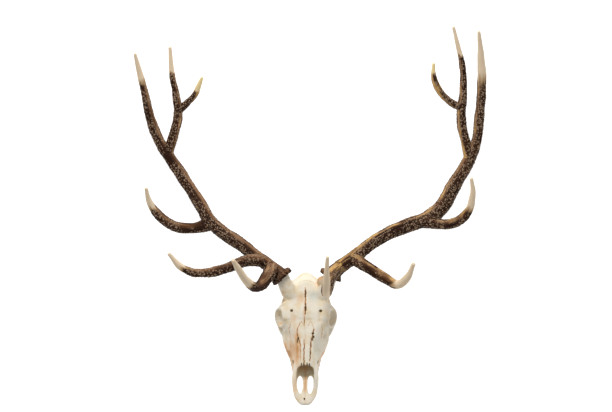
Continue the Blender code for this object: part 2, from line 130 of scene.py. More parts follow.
@dataclass(frozen=True)
class Grain:
    """Repeatable noise, found for many points at once."""

    seed: int

    def chance(self, cells: np.ndarray, turn: int = 0) -> np.ndarray:
        """A number from 0 to 1 for each whole-numbered cell.

        Args:
            cells: Rows of x, y and z.
            turn: Gives another number for the same cell.

        Returns:
            One number for each row.
        """
        x, y, z = cells.astype(np.int64).T
        mixed = (x * 73856093) ^ (y * 19349663) ^ (z * 83492791) ^ ((self.seed + 31 * turn) * 2654435761)
        mixed = (mixed ^ (mixed >> 13)) * 1274126177
        mixed = mixed ^ (mixed >> 16)
        return (mixed & 0xFFFF) / 0xFFFF

    def smooth(self, points: np.ndarray) -> np.ndarray:
        """Smooth noise from -1 to 1, with one hill or hollow to about two units."""
        base = np.floor(points)
        part = points - base
        part = part * part * (3 - 2 * part)
        total = np.zeros(len(points))
        for corner in itertools.product((0, 1), repeat=3):
            weight = np.prod(np.where(corner, part, 1 - part), axis=1)
            total += weight * self.chance(base + corner)
        return 2 * total - 1

    def rough(self, points: np.ndarray) -> np.ndarray:
        """Smooth noise with two finer layers on it."""
        return self.smooth(points) + 0.5 * self.smooth(2.1 * points) + 0.25 * self.smooth(4.3 * points)

    def beads(self, points: np.ndarray, smallest: float, largest: float) -> np.ndarray:
        """Heights from 0 to 1 of round beads, one to each unit cell.

        Args:
            points: Rows of x, y and z.
            smallest: The least radius of a bead, in cells.
            largest: The greatest.

        Returns:
            The height over each point, 0 between the beads.
        """
        base = np.floor(points)
        height = np.zeros(len(points))
        for step in itertools.product((-1, 0, 1), repeat=3):
            cell = base + step
            shift = np.stack([self.chance(cell, turn) for turn in (1, 2, 3)], axis=1)
            middle = cell + 0.15 + 0.7 * shift
            radius = smallest + (largest - smallest) * self.chance(cell, 4)
            apart = ((points - middle) ** 2).sum(axis=1)
            height = np.maximum(height, 1 - apart / radius**2)
        return height


class Surface:
    """The points of a mesh as arrays, for relief and for masks."""

    def __init__(self, obj: bpy.types.Object) -> None:
        """Reads an object's points and edges."""
        self.mesh = obj.data
        count = len(self.mesh.vertices)
        points = np.empty(count * 3)
        self.mesh.vertices.foreach_get("co", points)
        self.points = points.reshape(-1, 3)
        edges = np.empty(len(self.mesh.edges) * 2, np.int32)
        self.mesh.edges.foreach_get("vertices", edges)
        self.edges = edges.reshape(-1, 2)

    def write(self) -> None:
        """Puts the points back in the mesh."""
        self.mesh.vertices.foreach_set("co", self.points.ravel())
        self.mesh.update()

    def normals(self) -> np.ndarray:
        """The direction out of the surface at each point."""
        self.write()
        found = np.empty(len(self.points) * 3)
        self.mesh.vertex_normals.foreach_get("vector", found)
        return found.reshape(-1, 3)

    def averaged(self, values: np.ndarray, times: int) -> np.ndarray:
        """Values that are each averaged with their neighbours.

        Args:
            values: One row or number for each point.
            times: How many rounds of averaging.

        Returns:
            Values of the same shape.
        """
        shape = values.shape
        rows = values.reshape(len(values), -1).astype(float)
        first, second = self.edges.T
        count = len(rows)
        neighbours = np.bincount(self.edges.ravel(), minlength=count)[:, None]
        for _ in range(times):
            total = np.stack(
                [
                    np.bincount(first, column[second], count) + np.bincount(second, column[first], count)
                    for column in rows.T
                ],
                axis=1,
            )
            rows = 0.5 * rows + 0.5 * total / neighbours
        return rows.reshape(shape)

    def soften(self, times: int, share: np.ndarray | float = 1.0) -> None:
        """Evens out the points themselves.

        Args:
            times: How many rounds of averaging.
            share: How much of the change each point takes, from 0 to 1.
        """
        change = self.averaged(self.points, times) - self.points
        self.points = self.points + change * np.reshape(share, (-1, 1))
        self.write()

    def raise_by(self, height: np.ndarray) -> None:
        """Moves each point out by its height."""
        self.points = self.points + self.normals() * height[:, None]
        self.write()

    def bulge(self, reach: int) -> np.ndarray:
        """How far each point stands out of the surface round it, in the mesh's units.

        Args:
            reach: Rounds of averaging, so how wide a stretch it is set against.

        Returns:
            A distance for each point, negative in a hollow.
        """
        apart = self.points - self.averaged(self.points, reach)
        return (apart * self.normals()).sum(axis=1)

    def store(self, name: str, values: np.ndarray) -> None:
        """Keeps a number, or a row of three, for each point under a name that materials read."""
        single = values.ndim == 1
        made = self.mesh.attributes.new(name, "FLOAT" if single else "FLOAT_VECTOR", "POINT")
        made.data.foreach_set("value" if single else "vector", values.astype(np.float32).ravel())


def new_object(name: str, mesh: bpy.types.ID) -> bpy.types.Object:
    """An object in the scene that shows a mesh or a curve."""
    obj = bpy.data.objects.new(name, mesh)
    bpy.context.scene.collection.objects.link(obj)
    return obj


def discard(obj: bpy.types.Object) -> None:
    """Removes a helper from the scene."""
    bpy.data.objects.remove(obj)


def evaluated_mesh(obj: bpy.types.Object) -> bpy.types.Mesh:
    """A mesh with the object's modifiers or bevel in it."""
    graph = bpy.context.evaluated_depsgraph_get()
    graph.update()
    return bpy.data.meshes.new_from_object(obj.evaluated_get(graph))


def settle(obj: bpy.types.Object) -> None:
    """Makes an object's modifiers part of its mesh."""
    mesh = evaluated_mesh(obj)
    obj.modifiers.clear()
    obj.data = mesh


def mesh_object(name: str, build: Callable[[bmesh.types.BMesh], object]) -> bpy.types.Object:
    """An object whose mesh a function fills in.

    Args:
        name: The object's name.
        build: Is given an empty bmesh and adds the faces.

    Returns:
        The object, with its faces turned outwards.
    """
    bm = bmesh.new()
    build(bm)
    bmesh.ops.recalc_face_normals(bm, faces=bm.faces[:])
    if bm.calc_volume(signed=True) < 0:
        bmesh.ops.reverse_faces(bm, faces=bm.faces[:])
    mesh = bpy.data.meshes.new(name)
    bm.to_mesh(mesh)
    bm.free()
    return new_object(name, mesh)


def lump(centre: Sequence[float], radii: Sequence[float]) -> bpy.types.Object:
    """An ellipsoid."""
    place = Matrix.Translation(centre) @ Matrix.Diagonal((*radii, 1))
    return mesh_object(
        "lump",
        lambda bm: bmesh.ops.create_uvsphere(bm, u_segments=24, v_segments=16, radius=1, matrix=place),
    )


def rod(
    centre: Sequence[float], axis: Sequence[float], radius: float, length: float, squash: float = 1.0
) -> bpy.types.Object:
    """A closed cylinder along an axis, narrowed across by squash."""
    turn = Vector(axis).to_track_quat("Z", "Y").to_matrix().to_4x4()
    place = Matrix.Translation(centre) @ turn @ Matrix.Diagonal((squash, 1, 1, 1))
    return mesh_object(
        "rod",
        lambda bm: bmesh.ops.create_cone(
            bm, cap_ends=True, segments=40, radius1=radius, radius2=radius, depth=length, matrix=place
        ),
    )


def bridge(bm: bmesh.types.BMesh, rings: list[list[bmesh.types.BMVert]], closed: bool) -> None:
    """Faces between each ring of points and the next, with the ends capped or met."""
    pairs = list(zip(rings, rings[1:]))
    if closed:
        pairs.append((rings[-1], rings[0]))
    for first, second in pairs:
        count = len(first)
        for i in range(count):
            j = (i + 1) % count
            bm.faces.new((first[i], first[j], second[j], second[i]))
    if not closed:
        bm.faces.new(rings[0])
        bm.faces.new(rings[-1])


def ring(centre: Sequence[float], axis: Sequence[float], radius: float, thickness: float) -> bpy.types.Object:
    """A closed tube round a circle."""
    turn = Vector(axis).to_track_quat("Z", "Y").to_matrix()
    around = [Vector((math.cos(t), math.sin(t), 0)) for t in np.linspace(0, 2 * math.pi, 49)[:-1]]

    def build(bm: bmesh.types.BMesh) -> None:
        rings = []
        for out in around:
            points = []
            for spoke in around[::3]:
                point = out * (radius + thickness * spoke.x)
                point.z = thickness * spoke.y
                points.append(bm.verts.new(Vector(centre) + turn @ point))
            rings.append(points)
        bridge(bm, rings, closed=True)

    return mesh_object("ring", build)


def join(name: str, pieces: Iterable[bpy.types.Object]) -> bpy.types.Object:
    """One object that holds the meshes of several, which are removed."""
    bm = bmesh.new()
    for piece in pieces:
        bm.from_mesh(piece.data)
        discard(piece)
    mesh = bpy.data.meshes.new(name)
    bm.to_mesh(mesh)
    bm.free()
    return new_object(name, mesh)


def combine(obj: bpy.types.Object, other: bpy.types.Object, cut: Cut, keep: bool = False) -> None:
    """Cuts, joins or intersects an object with another one.

    Args:
        obj: The object that changes.
        other: The one it is set against, removed afterwards unless it is kept.
        cut: What to do.
        keep: Leaves the other one in the scene.
    """
    before = len(obj.data.polygons)
    modifier = obj.modifiers.new("combine", "BOOLEAN")
    modifier.operation = cut.value
    modifier.object = other
    modifier.solver = "MANIFOLD"
    mesh = evaluated_mesh(obj)
    if len(mesh.polygons) in (0, before):
        modifier.solver = "EXACT"
        mesh = evaluated_mesh(obj)
    obj.modifiers.clear()
    obj.data = mesh
    if not keep:
        discard(other)


def keep_largest(obj: bpy.types.Object) -> None:
    """Drops all but the largest closed surface of an object."""
    surface = Surface(obj)
    parent = np.arange(len(surface.points))
    first, second = surface.edges.T
    while True:
        low = np.minimum(parent[first], parent[second])
        before = parent.copy()
        np.minimum.at(parent, first, low)
        np.minimum.at(parent, second, low)
        parent = parent[parent]
        if (parent == before).all():
            break
    groups, counts = np.unique(parent, return_counts=True)
    if len(groups) == 1:
        return
    wanted = groups[counts.argmax()]
    bm = bmesh.new()
    bm.from_mesh(obj.data)
    extra = [vert for vert, group in zip(bm.verts, parent) if group != wanted]
    bmesh.ops.delete(bm, geom=extra, context="VERTS")
    bm.to_mesh(obj.data)
    bm.free()


def reskin(obj: bpy.types.Object, voxel: float) -> None:
    """One closed skin of even faces round all the shapes of an object."""
    skin = obj.modifiers.new("skin", "REMESH")
    skin.mode = "VOXEL"
    skin.voxel_size = voxel
    settle(obj)
    keep_largest(obj)


@dataclass(frozen=True)
class Course:
    """A smooth line through points of (x, y, z, radius), and the round body along it."""

    points: tuple[Point, ...]
    steps: int = 8

    def _guide(self, sides: int, grown: float = 0.0) -> bpy.types.Object:
        """The curve itself, with a round bevel where it has sides."""
        curve = bpy.data.curves.new("course", "CURVE")
        curve.dimensions = "3D"
        curve.resolution_u = self.steps
        curve.bevel_depth = 1.0 if sides else 0.0
        curve.bevel_resolution = max(sides // 2 - 2, 0)
        curve.use_fill_caps = True
        spline = curve.splines.new("BEZIER")
        spline.radius_interpolation = "CARDINAL"
        spline.bezier_points.add(len(self.points) - 1)
        for knot, (x, y, z, radius) in zip(spline.bezier_points, self.points):
            knot.co = (x, y, z)
            knot.radius = radius + grown
            knot.handle_left_type = "AUTO"
            knot.handle_right_type = "AUTO"
        return new_object("course", curve)

    def tube(self, sides: int = 20) -> bpy.types.Object:
        """The closed round body along the line."""
        guide = self._guide(sides)
        obj = new_object("tube", evaluated_mesh(guide))
        discard(guide)
        bm = bmesh.new()
        bm.from_mesh(obj.data)
        bmesh.ops.remove_doubles(bm, verts=bm.verts, dist=0.01)
        bmesh.ops.recalc_face_normals(bm, faces=bm.faces[:])
        bm.to_mesh(obj.data)
        bm.free()
        return obj

    def line(self) -> tuple[np.ndarray, np.ndarray]:
        """Points close together along the line, and the radius at each."""
        guide = self._guide(0)
        mesh = evaluated_mesh(guide)
        discard(guide)
        found = np.array([vertex.co for vertex in mesh.vertices])
        at = np.linspace(0, len(self.points) - 1, len(found))
        radii = np.interp(at, range(len(self.points)), [point[3] for point in self.points])
        return found, radii

    def mirrored(self, side: Side) -> Course:
        """The same course, given for the left side, on either side."""
        return Course(tuple(side.of(point) for point in self.points), self.steps)


class Value:
    """A number or a colour in a material, which takes part in Python arithmetic."""

    def __init__(self, recipe: Recipe, socket: bpy.types.NodeSocket) -> None:
        """Wraps the socket that gives the value."""
        self.recipe = recipe
        self.socket = socket

    def _math(self, operation: str, first: Value | float, second: Value | float) -> Value:
        """The result of one Math node."""
        return self.recipe.node("ShaderNodeMath", {"operation": operation}, {0: first, 1: second})

    def __add__(self, other: Value | float) -> Value:
        """Self plus the other."""
        return self._math("ADD", self, other)

    def __radd__(self, other: float) -> Value:
        """A number plus self."""
        return self._math("ADD", other, self)

    def __sub__(self, other: Value | float) -> Value:
        """Self less the other."""
        return self._math("SUBTRACT", self, other)

    def __rsub__(self, other: float) -> Value:
        """A number less self."""
        return self._math("SUBTRACT", other, self)

    def __mul__(self, other: Value | float) -> Value:
        """Self times the other."""
        return self._math("MULTIPLY", self, other)

    def __rmul__(self, other: float) -> Value:
        """A number times self."""
        return self._math("MULTIPLY", other, self)

    def rise(self, low: float, high: float) -> Value:
        """A smooth rise from 0 to 1 as self goes between two limits."""
        return self.recipe.node(
            "ShaderNodeMapRange",
            {"interpolation_type": "SMOOTHSTEP"},
            {"Value": self, "From Min": low, "From Max": high},
        )


class Recipe:
    """The nodes of one material."""

    def __init__(self, name: str) -> None:
        """Starts a material with a plain shader."""
        self.material = bpy.data.materials.new(name)
        self.material.use_nodes = True
        self.tree = self.material.node_tree
        self.shader = self.tree.nodes["Principled BSDF"]

    def feed(self, socket: bpy.types.NodeSocket, value: object) -> None:
        """Gives a socket a link or a plain value."""
        if isinstance(value, Value):
            self.tree.links.new(value.socket, socket)
        else:
            socket.default_value = value

    def node(
        self, kind: str, settings: dict[str, object], inputs: dict[int | str, object], output: int | str = 0
    ) -> Value:
        """Adds a node.

        Args:
            kind: The node's type.
            settings: Its own settings, which are set first.
            inputs: A value or a link for each of its sockets that needs one.
            output: Which of its outputs is wanted.

        Returns:
            The value of that output.
        """
        made = self.tree.nodes.new(kind)
        for name, setting in settings.items():
            setattr(made, name, setting)
        for name, value in inputs.items():
            self.feed(made.inputs[name], value)
        return Value(self, made.outputs[output])

    def mask(self, name: str) -> Value:
        """The number that a mesh keeps under a name."""
        return self.node("ShaderNodeAttribute", {"attribute_name": name}, {}, "Fac")

    def place(self, stretch: Point) -> Value:
        """The place on the object in metres, stretched along each axis."""
        spot = self.node("ShaderNodeTexCoord", {}, {}, "Object")
        return self.node("ShaderNodeVectorMath", {"operation": "MULTIPLY"}, {0: spot, 1: stretch})

    def along(self, name: str, stretch: Point) -> Value:
        """The place that a mesh keeps under a name, stretched along each axis."""
        spot = self.node("ShaderNodeAttribute", {"attribute_name": name}, {}, "Vector")
        return self.node("ShaderNodeVectorMath", {"operation": "MULTIPLY"}, {0: spot, 1: stretch})

    def cloud(self, place: Value, detail: float = 4.0) -> Value:
        """Smooth noise from 0 to 1, with one hill to each unit of the place."""
        return self.node(
            "ShaderNodeTexNoise", {}, {"Vector": place, "Scale": 1.0, "Detail": detail}, "Fac"
        )

    def blend(self, share: Value | float, first: Value | Colour, second: Value | Colour) -> Value:
        """A colour that goes from the first to the second as share goes from 0 to 1."""
        return self.node("ShaderNodeMix", {"data_type": "RGBA"}, {0: share, 6: first, 7: second}, 2)

    def finish(
        self, colour: Value, roughness: Value, relief: Value, depth: float, coat: float = 0.0, shine: float = 0.4
    ) -> bpy.types.Material:
        """Feeds the shader.

        Args:
            colour: The base colour.
            roughness: From 0, polished, to 1.
            relief: The height of the fine relief, from 0 to 1.
            depth: How deep that relief is, in metres.
            coat: How much of a thin gloss lies on top.
            shine: How strongly the surface itself mirrors, 0.5 as glass does.

        Returns:
            The finished material.
        """
        self.feed(self.shader.inputs["Base Color"], colour)
        self.feed(self.shader.inputs["Roughness"], roughness)
        bump = self.node("ShaderNodeBump", {}, {"Height": relief, "Distance": depth})
        self.feed(self.shader.inputs["Normal"], bump)
        self.shader.inputs["Coat Weight"].default_value = coat
        self.shader.inputs["Specular IOR Level"].default_value = shine
        return self.material


@dataclass(frozen=True)
class AntlerFinish:
    """Dark antler with pale beads, grooves along it, golden patches and ivory tips, with painted highlight on the
    sides facing the light and painted shade in the grooves.
    """

    # hollow: the antler's dark pigment together with painted shade, for the grooves and the gaps between beads
    hollow: Colour = (0.012, 0.004, 0.002, 1)
    dark: Colour = (0.028, 0.009, 0.003, 1)
    brown: Colour = (0.105, 0.040, 0.014, 1)
    bead: Colour = (0.43, 0.29, 0.185, 1)
    # pale tan of rubbed ridges, also used as painted highlight on the lit sides
    rub_and_highlight: Colour = (0.30, 0.165, 0.085, 1)
    gold: Colour = (0.66, 0.39, 0.135, 1)
    horn: Colour = (0.52, 0.34, 0.18, 1)
    ivory: Colour = (0.84, 0.67, 0.47, 1)
    yellow: Colour = (0.86, 0.68, 0.34, 1)

    def material(self) -> bpy.types.Material:
        """The nodes of the finish."""
        recipe = Recipe("antler")
        grain = recipe.cloud(recipe.along("grain", (0.8, 0.8, 0.07)), 3)
        fleck = recipe.cloud(recipe.along("grain", (0.75, 0.75, 0.55)), 2)
        patch = recipe.cloud(recipe.place((13, 13, 13)), 3)
        crest, bead, burr = recipe.mask("crest"), recipe.mask("bead"), recipe.mask("burr")
        tip, gold = recipe.mask("tip"), recipe.mask("gold")
        lit, ridge = recipe.mask("lit"), recipe.mask("ridge")
        # painted highlight: the brown is lighter where the lit mask is high
        colour = recipe.blend((0.8 * patch + 0.4 * lit).rise(0.35, 0.85), self.dark, self.brown)
        # pale streaks: rubbed ridges and grain, with painted highlight on the lit sides
        streak = (0.6 * lit + 0.5 * ridge + 0.5 * grain + 0.2 * patch).rise(0.86, 1.26)
        colour = recipe.blend(0.9 * streak * (1 - 0.6 * burr), colour, self.rub_and_highlight)
        # golden tone of ridges and patches, with painted highlight on the lit sides
        shine = (0.8 * gold + 0.55 * ridge + 0.5 * grain + 0.45 * patch + 0.4 * lit).rise(1.32, 1.72)
        colour = recipe.blend(shine * (1 - 0.9 * burr), colour, self.gold)
        specks = (bead + 0.8 * fleck - 0.40).rise(0.12, 0.60)
        colour = recipe.blend(0.8 * specks * (1 - 0.6 * burr), colour, self.bead)
        # near-black in the concave grooves and between the beads: dark pigment with painted shade
        colour = recipe.blend((crest + 0.25 * grain).rise(0.56, 0.34), colour, self.hollow)
        colour = recipe.blend(tip.rise(0.05, 0.55), colour, self.horn)
        pale = recipe.blend(gold.rise(0.6, 0.85), self.ivory, self.yellow)
        colour = recipe.blend((tip + 0.25 * grain).rise(0.60, 1.10), colour, pale)
        roughness = 0.60 - 0.26 * tip + 0.15 * grain
        relief = (0.5 * grain + 0.7 * fleck) * (1 - tip.rise(0.2, 0.9))
        return recipe.finish(colour, roughness, relief, 0.0009, shine=0.12)


@dataclass(frozen=True)
class BoneFinish:
    """Dry cream bone, stained warm on one side, with brown seams, tan stain and painted shade in the hollows,
    painted shade in deep recesses and small holes, a greyer painted shade on the animal's left side and in the eye
    sockets, and a painted highlight on the top of the head.
    """

    name: str = "bone"
    pale: Colour = (0.88, 0.80, 0.66, 1)
    cream: Colour = (0.84, 0.71, 0.49, 1)
    # paler colour painted as highlight on the top of the head
    bleached: Colour = (0.89, 0.83, 0.66, 1)
    # greyer colour painted as shade
    cool_shade: Colour = (0.69, 0.69, 0.60, 1)
    tan: Colour = (0.80, 0.51, 0.28, 1)
    stain: Colour = (0.60, 0.29, 0.10, 1)
    seam: Colour = (0.12, 0.055, 0.018, 1)
    # hole: painted shade for the small holes, pits and notches
    hole: Colour = (0.13, 0.085, 0.025, 1)
    # deep: painted shade for recesses that lie deep under the unopened skin
    deep: Colour = (0.78, 0.71, 0.52, 1)

    def material(self) -> bpy.types.Material:
        """The nodes of the finish."""
        recipe = Recipe(self.name)
        cloud = recipe.cloud(recipe.place((45, 45, 45)), 5)
        speck = recipe.cloud(recipe.place((420, 420, 420)), 3)
        pores = recipe.cloud(recipe.place((1100, 700, 1100)), 2)
        crest, seam = recipe.mask("crest"), recipe.mask("seam")
        stain, deep, hole = recipe.mask("stain"), recipe.mask("deep"), recipe.mask("hole")
        cool_shade, bleach = recipe.mask("cool_shade"), recipe.mask("bleach")
        colour = recipe.blend(cloud.rise(0.42, 0.66), self.pale, self.cream)
        # painted shade: greyer, mostly on the animal's left side and in both eye sockets
        colour = recipe.blend((cool_shade * (0.45 + cloud)).rise(0.15, 0.95), colour, self.cool_shade)
        # painted highlight: paler on the dome between the pedicles
        colour = recipe.blend((bleach + 0.3 * cloud).rise(0.20, 0.95), colour, self.bleached)
        colour = recipe.blend((stain * (0.5 + cloud)).rise(0.08, 0.75), colour, self.tan)
        colour = recipe.blend((stain * (0.4 + 1.2 * cloud)).rise(0.55, 1.25), colour, self.stain)
        # tan in the concave hollows: stain with painted shade
        colour = recipe.blend(0.6 * (crest + 0.2 * speck).rise(0.50, 0.25), colour, self.tan)
        # painted shade: greyer, darker colour in recesses deep under the unopened skin
        colour = recipe.blend((deep + 0.3 * cloud - 0.15).rise(0.05, 0.8), colour, self.deep)
        colour = recipe.blend((seam + 0.3 * speck).rise(0.20, 0.55), colour, self.stain)
        colour = recipe.blend((seam + 0.3 * speck).rise(0.50, 0.95), colour, self.seam)
        # painted shade inside the small holes and notches
        colour = recipe.blend(hole.rise(0.2, 0.8), colour, self.hole)
        roughness = 0.52 + 0.2 * speck
        relief = 0.6 * pores + 0.8 * speck
        return recipe.finish(colour, roughness, relief, 0.0004)


@dataclass(frozen=True)
class ToothFinish:
    """Worn enamel, brown in the folds and round the roots."""

    enamel: Colour = (0.80, 0.74, 0.62, 1)
    fold: Colour = (0.20, 0.12, 0.06, 1)

    def material(self) -> bpy.types.Material:
        """The nodes of the finish."""
        recipe = Recipe("teeth")
        cloud = recipe.cloud(recipe.place((160, 160, 160)), 4)
        crest = recipe.mask("crest")
        colour = recipe.blend((crest + 0.3 * cloud).rise(0.72, 0.42), self.enamel, self.fold)
        return recipe.finish(colour, 0.26 + 0.2 * cloud, cloud, 0.0002, coat=0.3)


@dataclass(frozen=True)
class Tine:
    """One stretch of antler that grows from the beam or from another tine.

    Ivory is the length of the worn tip and fade how gradually it starts, in millimetres.
    Gold says how golden brown it is at its root and at its tip, and strip is half the
    width of the worn face where the tip is ivory on one side only.
    """

    points: tuple[Point, ...]
    ivory: float = 60.0
    fade: float = 14.0
    gold: tuple[float, float] = (0.1, 0.2)
    strip: float = 60.0

    @property
    def course(self) -> Course:
        """The line that it follows."""
        return Course(self.points)


@dataclass
class Antler:
    """One antler with its burr, beam and tines, as one skin with beads and grooves."""

    side: Side
    burr_axis: Vector
    beam: Tine
    tines: dict[str, Tine]
    voxel: float = 1.5
    softness: int = 8
    burr_radius: float = 33.5
    burr_half: float = 8.0
    knobs: int = 21
    groove_depth: float = 1.5
    groove_width: float = 5.4
    thin_swell: float = 1.2
    groove_length: float = 34.0
    bead_spacing: float = 4.1
    bead_height: float = 1.5
    lit_from: tuple[float, float] = (0, 420)
    beam_nodes: tuple[str, ...] = ("burr", "lower_beam", "upper_beam", "outer_tine")
    finish: AntlerFinish = field(default_factory=AntlerFinish)

    @property
    def courses(self) -> list[Tine]:
        """The beam and then each tine."""
        return [self.beam, *self.tines.values()]

    def burr(self) -> list[bpy.types.Object]:
        """The collar at the root, a ring set with coarse knobs."""
        centre = Vector(self.beam.points[0][:3])
        turn = self.burr_axis.to_track_quat("Z", "Y").to_matrix()
        rng = np.random.default_rng(11 + self.side.value)
        pieces = [rod(centre, self.burr_axis, self.burr_radius - 6, 1.5 * self.burr_half)]
        for inset, height, smallest, largest in ((0, -0.4, 3.6, 6.2), (0.5, 0.25, 3.8, 6.8), (5.5, 0.85, 3.0, 5.0)):
            for k in range(self.knobs):
                around = 2 * math.pi * (k + height + rng.uniform(-0.25, 0.25)) / self.knobs
                size = rng.uniform(smallest, largest)
                reach = self.burr_radius - inset - 0.65 * size + rng.uniform(-1.5, 1.5)
                spot = Vector((reach * math.cos(around), reach * math.sin(around), height * self.burr_half))
                pieces.append(lump(centre + turn @ spot, (size, size * rng.uniform(0.8, 1.2), size)))
        return pieces

    def body(self) -> bpy.types.Object:
        """The whole antler as one even skin, still smooth."""
        pieces = [tine.course.tube() for tine in self.courses]
        obj = join(f"antler_{self.side.word}", pieces + self.burr())
        reskin(obj, self.voxel * (1.0))
        return obj

    def nearest(self, points: np.ndarray) -> dict[str, np.ndarray]:
        """Where each point lies on the course that it is nearest to.

        Args:
            points: Rows of x, y and h.

        Returns:
            For each point, across (two distances from the line), along (the length from
            the root), to_tip (the length that is left), beside (how far it lies to the
            animal's left or right of the line), tine (the course's number) and radius.
        """
        lines, radii, along, to_tip, number, tangents, sides = [], [], [], [], [], [], []
        for index, tine in enumerate(self.courses):
            line, radius = tine.course.line()
            tangent = np.gradient(line, axis=0)
            tangent /= np.linalg.norm(tangent, axis=1)[:, None]
            length = np.concatenate([[0], np.cumsum(np.linalg.norm(np.diff(line, axis=0), axis=1))])
            side = np.cross(tangent[0], (0.3, 0.2, 0.93))
            turned = []
            for direction in tangent:
                side = side - direction * (side @ direction)
                side = side / np.linalg.norm(side)
                turned.append(side)
            lines.append(line)
            radii.append(radius)
            along.append(length)
            to_tip.append(length[-1] - length)
            number.append(np.full(len(line), index))
            tangents.append(tangent)
            sides.append(np.array(turned))
        line, radius, along, to_tip, number, tangent, side = (
            np.concatenate(part) for part in (lines, radii, along, to_tip, number, tangents, sides)
        )
        index = np.empty(len(points), int)
        for start in range(0, len(points), 20000):
            block = points[start : start + 20000]
            apart = np.linalg.norm(block[:, None, :] - line[None], axis=2) - 0.7 * radius[None]
            index[start : start + 20000] = apart.argmin(axis=1)
        offset = points - line[index]
        forward = (offset * tangent[index]).sum(axis=1)
        up = np.cross(tangent, side)
        across = np.stack([(offset * side[index]).sum(axis=1), (offset * up[index]).sum(axis=1)], axis=1)
        return {
            "across": across,
            "along": along[index] + forward,
            "to_tip": to_tip[index] - forward,
            "beside": abs(offset[:, 0]),
            "tine": number[index],
            "radius": radius[index],
        }

    def relieve(self, obj: bpy.types.Object) -> None:
        """Gives the smooth body its grooves and beads, and keeps the masks for its finish."""
        surface = Surface(obj)
        found = self.nearest(surface.points)
        across, along = found["across"], found["along"]
        centre = np.array(self.beam.points[0][:3])
        clear_of_burr = smooth_step(34, 46, np.linalg.norm(surface.points - centre, axis=1))
        slim = smooth_step(3, 13, found["radius"])
        surface.soften(self.softness, (0.2 + 0.8 * clear_of_burr) * (0.25 + 0.75 * slim))
        ivory, fade, strip, root, end = np.array(
            [(tine.ivory, tine.fade, tine.strip, *tine.gold) for tine in self.courses]
        )[found["tine"]].T
        grain = np.column_stack([across, along])
        to_tip = found["to_tip"] - ivory + 5 * Grain(3).smooth(surface.points / 22)
        to_tip = to_tip + (6 + 0.35 * fade) * Grain(14).smooth(grain / (3.4, 3.4, 70))
        tip = 1 - smooth_step(-1, 1, to_tip / fade)
        tip = tip * smooth_step(1.25, 0.85, found["beside"] / strip)
        gold = root + (end - root) * along / (along + np.maximum(found["to_tip"], 0) + 1)
        # lit: how far each point faces a point between the antlers and upwards, where the finish paints highlight
        toward = np.column_stack([np.array(self.lit_from) - surface.points[:, :2], np.full(len(across), 60.0)])
        toward /= np.linalg.norm(toward, axis=1)[:, None]
        facing = surface.normals()
        lit = (facing * toward).sum(axis=1)
        raised = smooth_step(-0.1, 0.6, facing[:, 2])
        lengthwise = grain / (self.groove_width, self.groove_width, self.groove_length)
        ridge = Grain(5).smooth(lengthwise) + 0.5 * Grain(6).smooth(lengthwise * (2, 2, 1.6))
        stretched = np.column_stack([across, along * 0.62]) / self.bead_spacing
        beads = Grain(8).beads(stretched, 0.36, 0.62)
        beaded = smooth_step(-1.1, 0.1, Grain(9).smooth(surface.points / 40) + 0.5 * ridge - 0.25 * lit)
        worn = 1 - tip
        height = self.groove_depth * ridge + self.bead_height * beads * beaded
        height = height - 0.35 * self.groove_depth
        lumps = 1.4 * Grain(12).smooth(surface.points / 34)
        surface.raise_by((height * worn * (0.35 + 0.65 * clear_of_burr) + lumps) * (0.25 + 0.75 * slim))
        surface.raise_by(self.thin_swell * smooth_step(19, 9, found["radius"]))
        bulge = surface.bulge(7)
        surface.store("crest", np.clip(0.5 + bulge / 1.5, 0, 1))
        surface.store("bead", beads * beaded * worn)
        surface.store("burr", 1 - clear_of_burr)
        surface.store("tip", tip)
        surface.store("gold", gold)
        surface.store("lit", smooth_step(0.2, 0.95, lit) * raised)
        surface.store("ridge", np.clip(0.5 + 0.5 * ridge, 0, 1))
        surface.store("grain", grain)

    def build(self) -> bpy.types.Object:
        """Makes the antler, dresses it and sets it in place of its solids.

        Returns:
            The finished piece.
        """
        obj = self.body()
        self.relieve(obj)
        on_floor(obj, CROWN_TO_FLOOR)
        obj.data.materials.clear()
        obj.data.materials.append(self.finish.material())
        names = [*self.beam_nodes, *self.tines]
        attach(obj, "root")
        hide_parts(*(f"antler_{self.side.word}_{name}" for name in names))
        return obj


def on_floor(obj: bpy.types.Object, place: Matrix) -> None:
    """Sets a shape in the row's frame, with nothing below the floor."""
    obj.data.transform(place)
    surface = Surface(obj)
    surface.points[:, 2] = np.maximum(surface.points[:, 2], 0)
    surface.write()
    obj.data.shade_smooth()


@dataclass(frozen=True)
class Section:
    """Half an outline across the skull at one place along it."""

    y: float
    floor: float
    low: tuple[float, float]
    side: tuple[float, float]
    top: tuple[float, float]
    roof: float

    def outline(self) -> np.ndarray:
        """The points of the whole outline, as rows of x and z."""
        half = [self.low, self.side, self.top]
        mirrored = [(-x, z) for x, z in reversed(half)]
        return np.array([(0, self.floor), *half, (0, self.roof), *mirrored], float)


def between(rows: np.ndarray, at: float, closed: bool) -> np.ndarray:
    """A place on a smooth curve through rows of numbers.

    Args:
        rows: The numbers that the curve goes through, in order.
        at: The place, where whole numbers are the rows.
        closed: The last row is followed by the first.

    Returns:
        The numbers there.
    """
    count = len(rows)
    i = min(int(at), count - 1 if closed else count - 2)
    t = at - i
    near = [i + step for step in (-1, 0, 1, 2)]
    a, b, c, d = (rows[k % count if closed else min(max(k, 0), count - 1)] for k in near)
    return 0.5 * (2 * b + (c - a) * t + (2 * a - 5 * b + 4 * c - d) * t**2 + (3 * b - a - 3 * c + d) * t**3)


